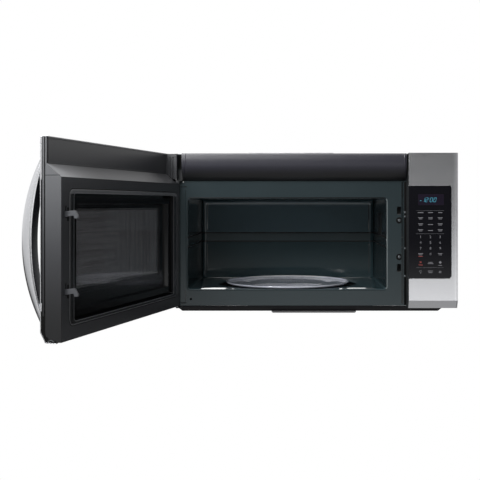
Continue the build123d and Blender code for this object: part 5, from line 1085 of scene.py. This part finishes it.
def ring_band(mesh, section):
    """A closed band round the choke ring.

    RING gives each outer edge, the way inward and the width. A point of the section is set in by
    a length and a share of that width, and stands at its v.
    """
    loops = []
    for inset, share, v in section:
        edges = [edge + way * (inset + share * wide) for edge, way, wide in RING]
        outline = rounded_loop(*edges, max(14.0 - inset - 7.0 * share, 3.0))
        loops.append([on_door(u, v, z) for u, z in outline])
    skin_loops(mesh, loops, closed=True)


ring_moulding, place, tone = mottled("ring moulding", (0.016, 0.017, 0.019), (0.022, 0.023, 0.026), 30,
                                     {"Specular IOR Level": 0.55}, (0.22, 0.08, 500))
along, high = door_measures(place)
# painted shade on the ring's free side, painted light on its upper side
tone = (0.8 * (along > 0.5725)).between(tone, (0.005, 0.0052, 0.006))
feed(ring_moulding, "Base Color", (0.85 * (high > 0.2985)).between(tone, (0.115, 0.118, 0.125)))
mesh = bmesh.new()
ring_band(mesh, RING_SECTION)
add_piece("choke_ring", mesh, ring_moulding, "door", "choke_cover", smooth=30)

# ---- door: gaps, ribs, slots and free end ------------------------------------------------------
# Black strips painted as shade lie in the gaps where the door's mouldings meet and in its slots. Ribs
# stiffen the frame's upper part, and the free end has a corner cap, the folded edge of the skin and a small
# lip.
DOOR_GAPS = (((624.7, 3.6, 60.0), (625.2, 11.4, 411.8), 0.1),
             ((624.8, 6.6, 334.6), (625.2, 44.5, 335.7), 0.05),
             ((8.0, 46.4, 331.2), (618.0, 46.78, 331.7), 0.03))
RING_GAP = ((-1.9, 0, 46.6), (-1.8, 0, 46.74), (0.1, 0, 46.78), (0.3, 0, 46.6))
DOOR_RIBS = (((624.8, 5.4, 54.0), (625.45, 9.0, 411.0), 0.12),
             ((24.0, 14.2, 409.6), (622.0, 15.0, 411.2), 0.2),
             ((24.0, 14.2, 360.2), (622.0, 14.9, 361.4), 0.2),
             ((619.6, 14.2, 360.2), (621.2, 15.0, 411.2), 0.2),
             ((19.6, 25.1, 347.0), (20.9, 26.9, 404.0), 0.4),
             ((19.6, 32.1, 347.0), (20.9, 33.9, 404.0), 0.4),
             ((19.6, 17.0, 404.0), (20.9, 41.0, 405.6), 0.4))
HOOK_SLOTS = (((595.5, 46.2, 88.0), (602.0, 46.85, 115.0), 0.1),
              ((595.5, 46.2, 243.7), (602.0, 46.85, 270.7), 0.1),
              ((1.5, 14.0, 338.6), (3.0, 34.0, 345.6), 0.1))
CAP_OUTLINE = ((0.3, 64.0), (0.3, 23.0), (11.7, 0.3), (36.0, 0.2), (36.0, 6.0), (17.5, 6.4), (11.6, 19.0),
               (11.6, 64.0))
SKIN_OUTLINE = ((0.1, 411.0), (0.1, 22.9), (11.5, 0.1), (36.4, 0.05), (36.4, 1.5), (12.4, 1.6), (1.6, 23.4),
                (1.6, 411.0))
LIP_OUTLINE = ((17.0, 5.2), (24.0, 7.6), (31.5, 5.0), (31.5, 3.4), (24.0, 5.8), (17.0, 3.6))

# painted shade: near-black strips in the door's gaps and slots
mesh = bmesh.new()
ring_band(mesh, RING_GAP)
for block in DOOR_GAPS:
    solid_box(mesh, *block, on_door)
add_piece("door_gap_shade", mesh, shade_and_cap_black, "door")
mesh = bmesh.new()
for block in DOOR_RIBS:
    solid_box(mesh, *block, on_door)
add_piece("door_ribs", mesh, door_moulding, "door", smooth=40)
mesh = bmesh.new()
for block in HOOK_SLOTS:
    solid_box(mesh, *block, on_door)
add_piece("hook_slot_shade", mesh, shade_and_cap_black, "door")
for name, outline, u0, u1, paint in (("corner_cap", CAP_OUTLINE, 618.0, 625.2, shade_and_cap_black),
                                     ("skin_edge", SKIN_OUTLINE, 624.4, 625.35, stainless),
                                     ("corner_lip", LIP_OUTLINE, 624.0, 625.4, screw_black)):
    mesh = bmesh.new()
    skin_loops(mesh, [[on_door(u, v, z) for v, z in outline] for u in (u0, u1)], ends=True)
    add_piece(name, mesh, paint, "door")

# ---- door: beads of the cover ring -------------------------------------------------------------
# A rounded bead runs along both its edges, painted paler than the ring as a painted highlight.
BEAD_SECTION = ((-0.9, 46.9), (-0.5, 47.5), (0.1, 47.75), (0.7, 47.5), (1.0, 46.9))
bead_grey = mottled("bead grey", (0.045, 0.047, 0.052), (0.065, 0.067, 0.073), 60,
                    {"Specular IOR Level": 0.5}, (0.26, 0.1, 500))[0]
mesh = bmesh.new()
for inset, share in ((0.9, 0.0), (-1.7, 1.0)):
    ring_band(mesh, [(inset + off, share, v) for off, v in BEAD_SECTION])
add_piece("ring_beads", mesh, bead_grey, "door", smooth=60)

# ---- door: window, screen and film -------------------------------------------------------------
# Two steps are stamped in the panel round the window. The screen's holes are a pattern in its finish, too
# fine to model, bright wavy streaks are painted on it as sheen, and a clear film covers it.
WINDOW = (126.0, 543.0, 106.0, 263.0)
STEP_SECTION = ((0.0, 31.8), (0.0, 32.9), (1.0, 32.9), (1.0, 31.8))
HOLE_PITCH = 0.0024
HOLE_R = 0.00085
HOLE_ROW = HOLE_PITCH * 0.866
mesh = bmesh.new()
u0, u1, z0, z1 = WINDOW
for out in (10.0, 16.0):
    loops = []
    for inward, v in STEP_SECTION:
        grow = out - inward
        outline = rounded_loop(u0 - grow, u1 + grow, z0 - grow, z1 + grow, 6.0 - inward)
        loops.append([on_door(u, v, z) for u, z in outline])
    skin_loops(mesh, loops, closed=True)
add_piece("window_steps", mesh, ring_moulding, "door")

screen_paint, place = finish("perforated steel", {"Specular IOR Level": 0.5, "Roughness": 0.4})
along, high = door_measures(place)
odd = place.sum("FLOORED_MODULO", high / HOLE_ROW, 2.0) > 1.0
column = (along + odd * (HOLE_PITCH / 2)).folded(HOLE_PITCH)
row = high.folded(HOLE_ROW)
hole = column * column + row * row < HOLE_R ** 2
across_lines = cloud(place, 170, (0.03, 0.03, 1.0), 1.0).span(0.38, 0.62)
upright_lines = cloud(place, 80, (1.0, 1.0, 0.05), 1.0).span(0.44, 0.58)
# painted sheen: bright wavy streaks over the screen
shimmer = 0.6 * across_lines * along.span(0.26, 0.42) + 0.6 * upright_lines * (1 - along.span(0.30, 0.46))
sheet_tone = shimmer.between((0.026, 0.027, 0.029), (0.19, 0.193, 0.20))
feed(screen_paint, "Base Color", hole.between(sheet_tone, (0.002, 0.002, 0.002)))
coat(screen_paint, "perforated_screen")
film = mottled("window film", (0.55, 0.55, 0.57), (0.62, 0.62, 0.64), 8,
               {"Roughness": 0.06, "Transmission Weight": 0.92, "IOR": 1.45})[0]
coat(film, "inner_window")

# ---- handle ------------------------------------------------------------------------------------
# A bowed bar of brushed steel on the free side of the door, forged to an egg-shaped section that
# runs out into two flat feet, and bolted through from inside.
HANDLE_U = 603.1
HANDLE_HALF = 13.9
OUTER_ARC = (22.0, 386.0, 52.6)
INNER_ARC = (54.0, 354.0, 24.4)
ARC_STEPS = 72
SQUARE_BACK = 0.36


def arc_point(foot, head, bow, share):
    """A point at a share of the arc from foot to head that stands bow in front of the door."""
    half = (head - foot) / 2
    radius = (half * half + bow * bow) / (2 * bow)
    reach = math.asin(half / radius)
    turn = reach * (2 * share - 1)
    return Vector((bow - radius + radius * math.cos(turn), (foot + head) / 2 + radius * math.sin(turn)))


mesh = bmesh.new()
loops = []
for step in range(ARC_STEPS + 1):
    outer = arc_point(*OUTER_ARC, step / ARC_STEPS)
    inner = arc_point(*INNER_ARC, step / ARC_STEPS)
    ring = []
    for side in range(32):
        turn = 2 * math.pi * side / 32
        c, s = math.cos(turn), math.sin(turn)
        power = 1.0 if c > 0 else SQUARE_BACK
        wide = HANDLE_HALF * math.copysign(abs(s) ** power, s)
        spot = (outer + inner) / 2 + (outer - inner) / 2 * math.copysign(abs(c) ** power, c)
        ring.append(on_door(HANDLE_U + wide, -max(spot.x, -0.4), spot.y))
    loops.append(ring)
skin_loops(mesh, loops, ends=True)
add_piece("bowed_handle", mesh, stainless, "door", "handle", smooth=60)

# ---- size of the dressed model -----------------------------------------------------------------
# The box round the dressed model's pieces.
low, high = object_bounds()
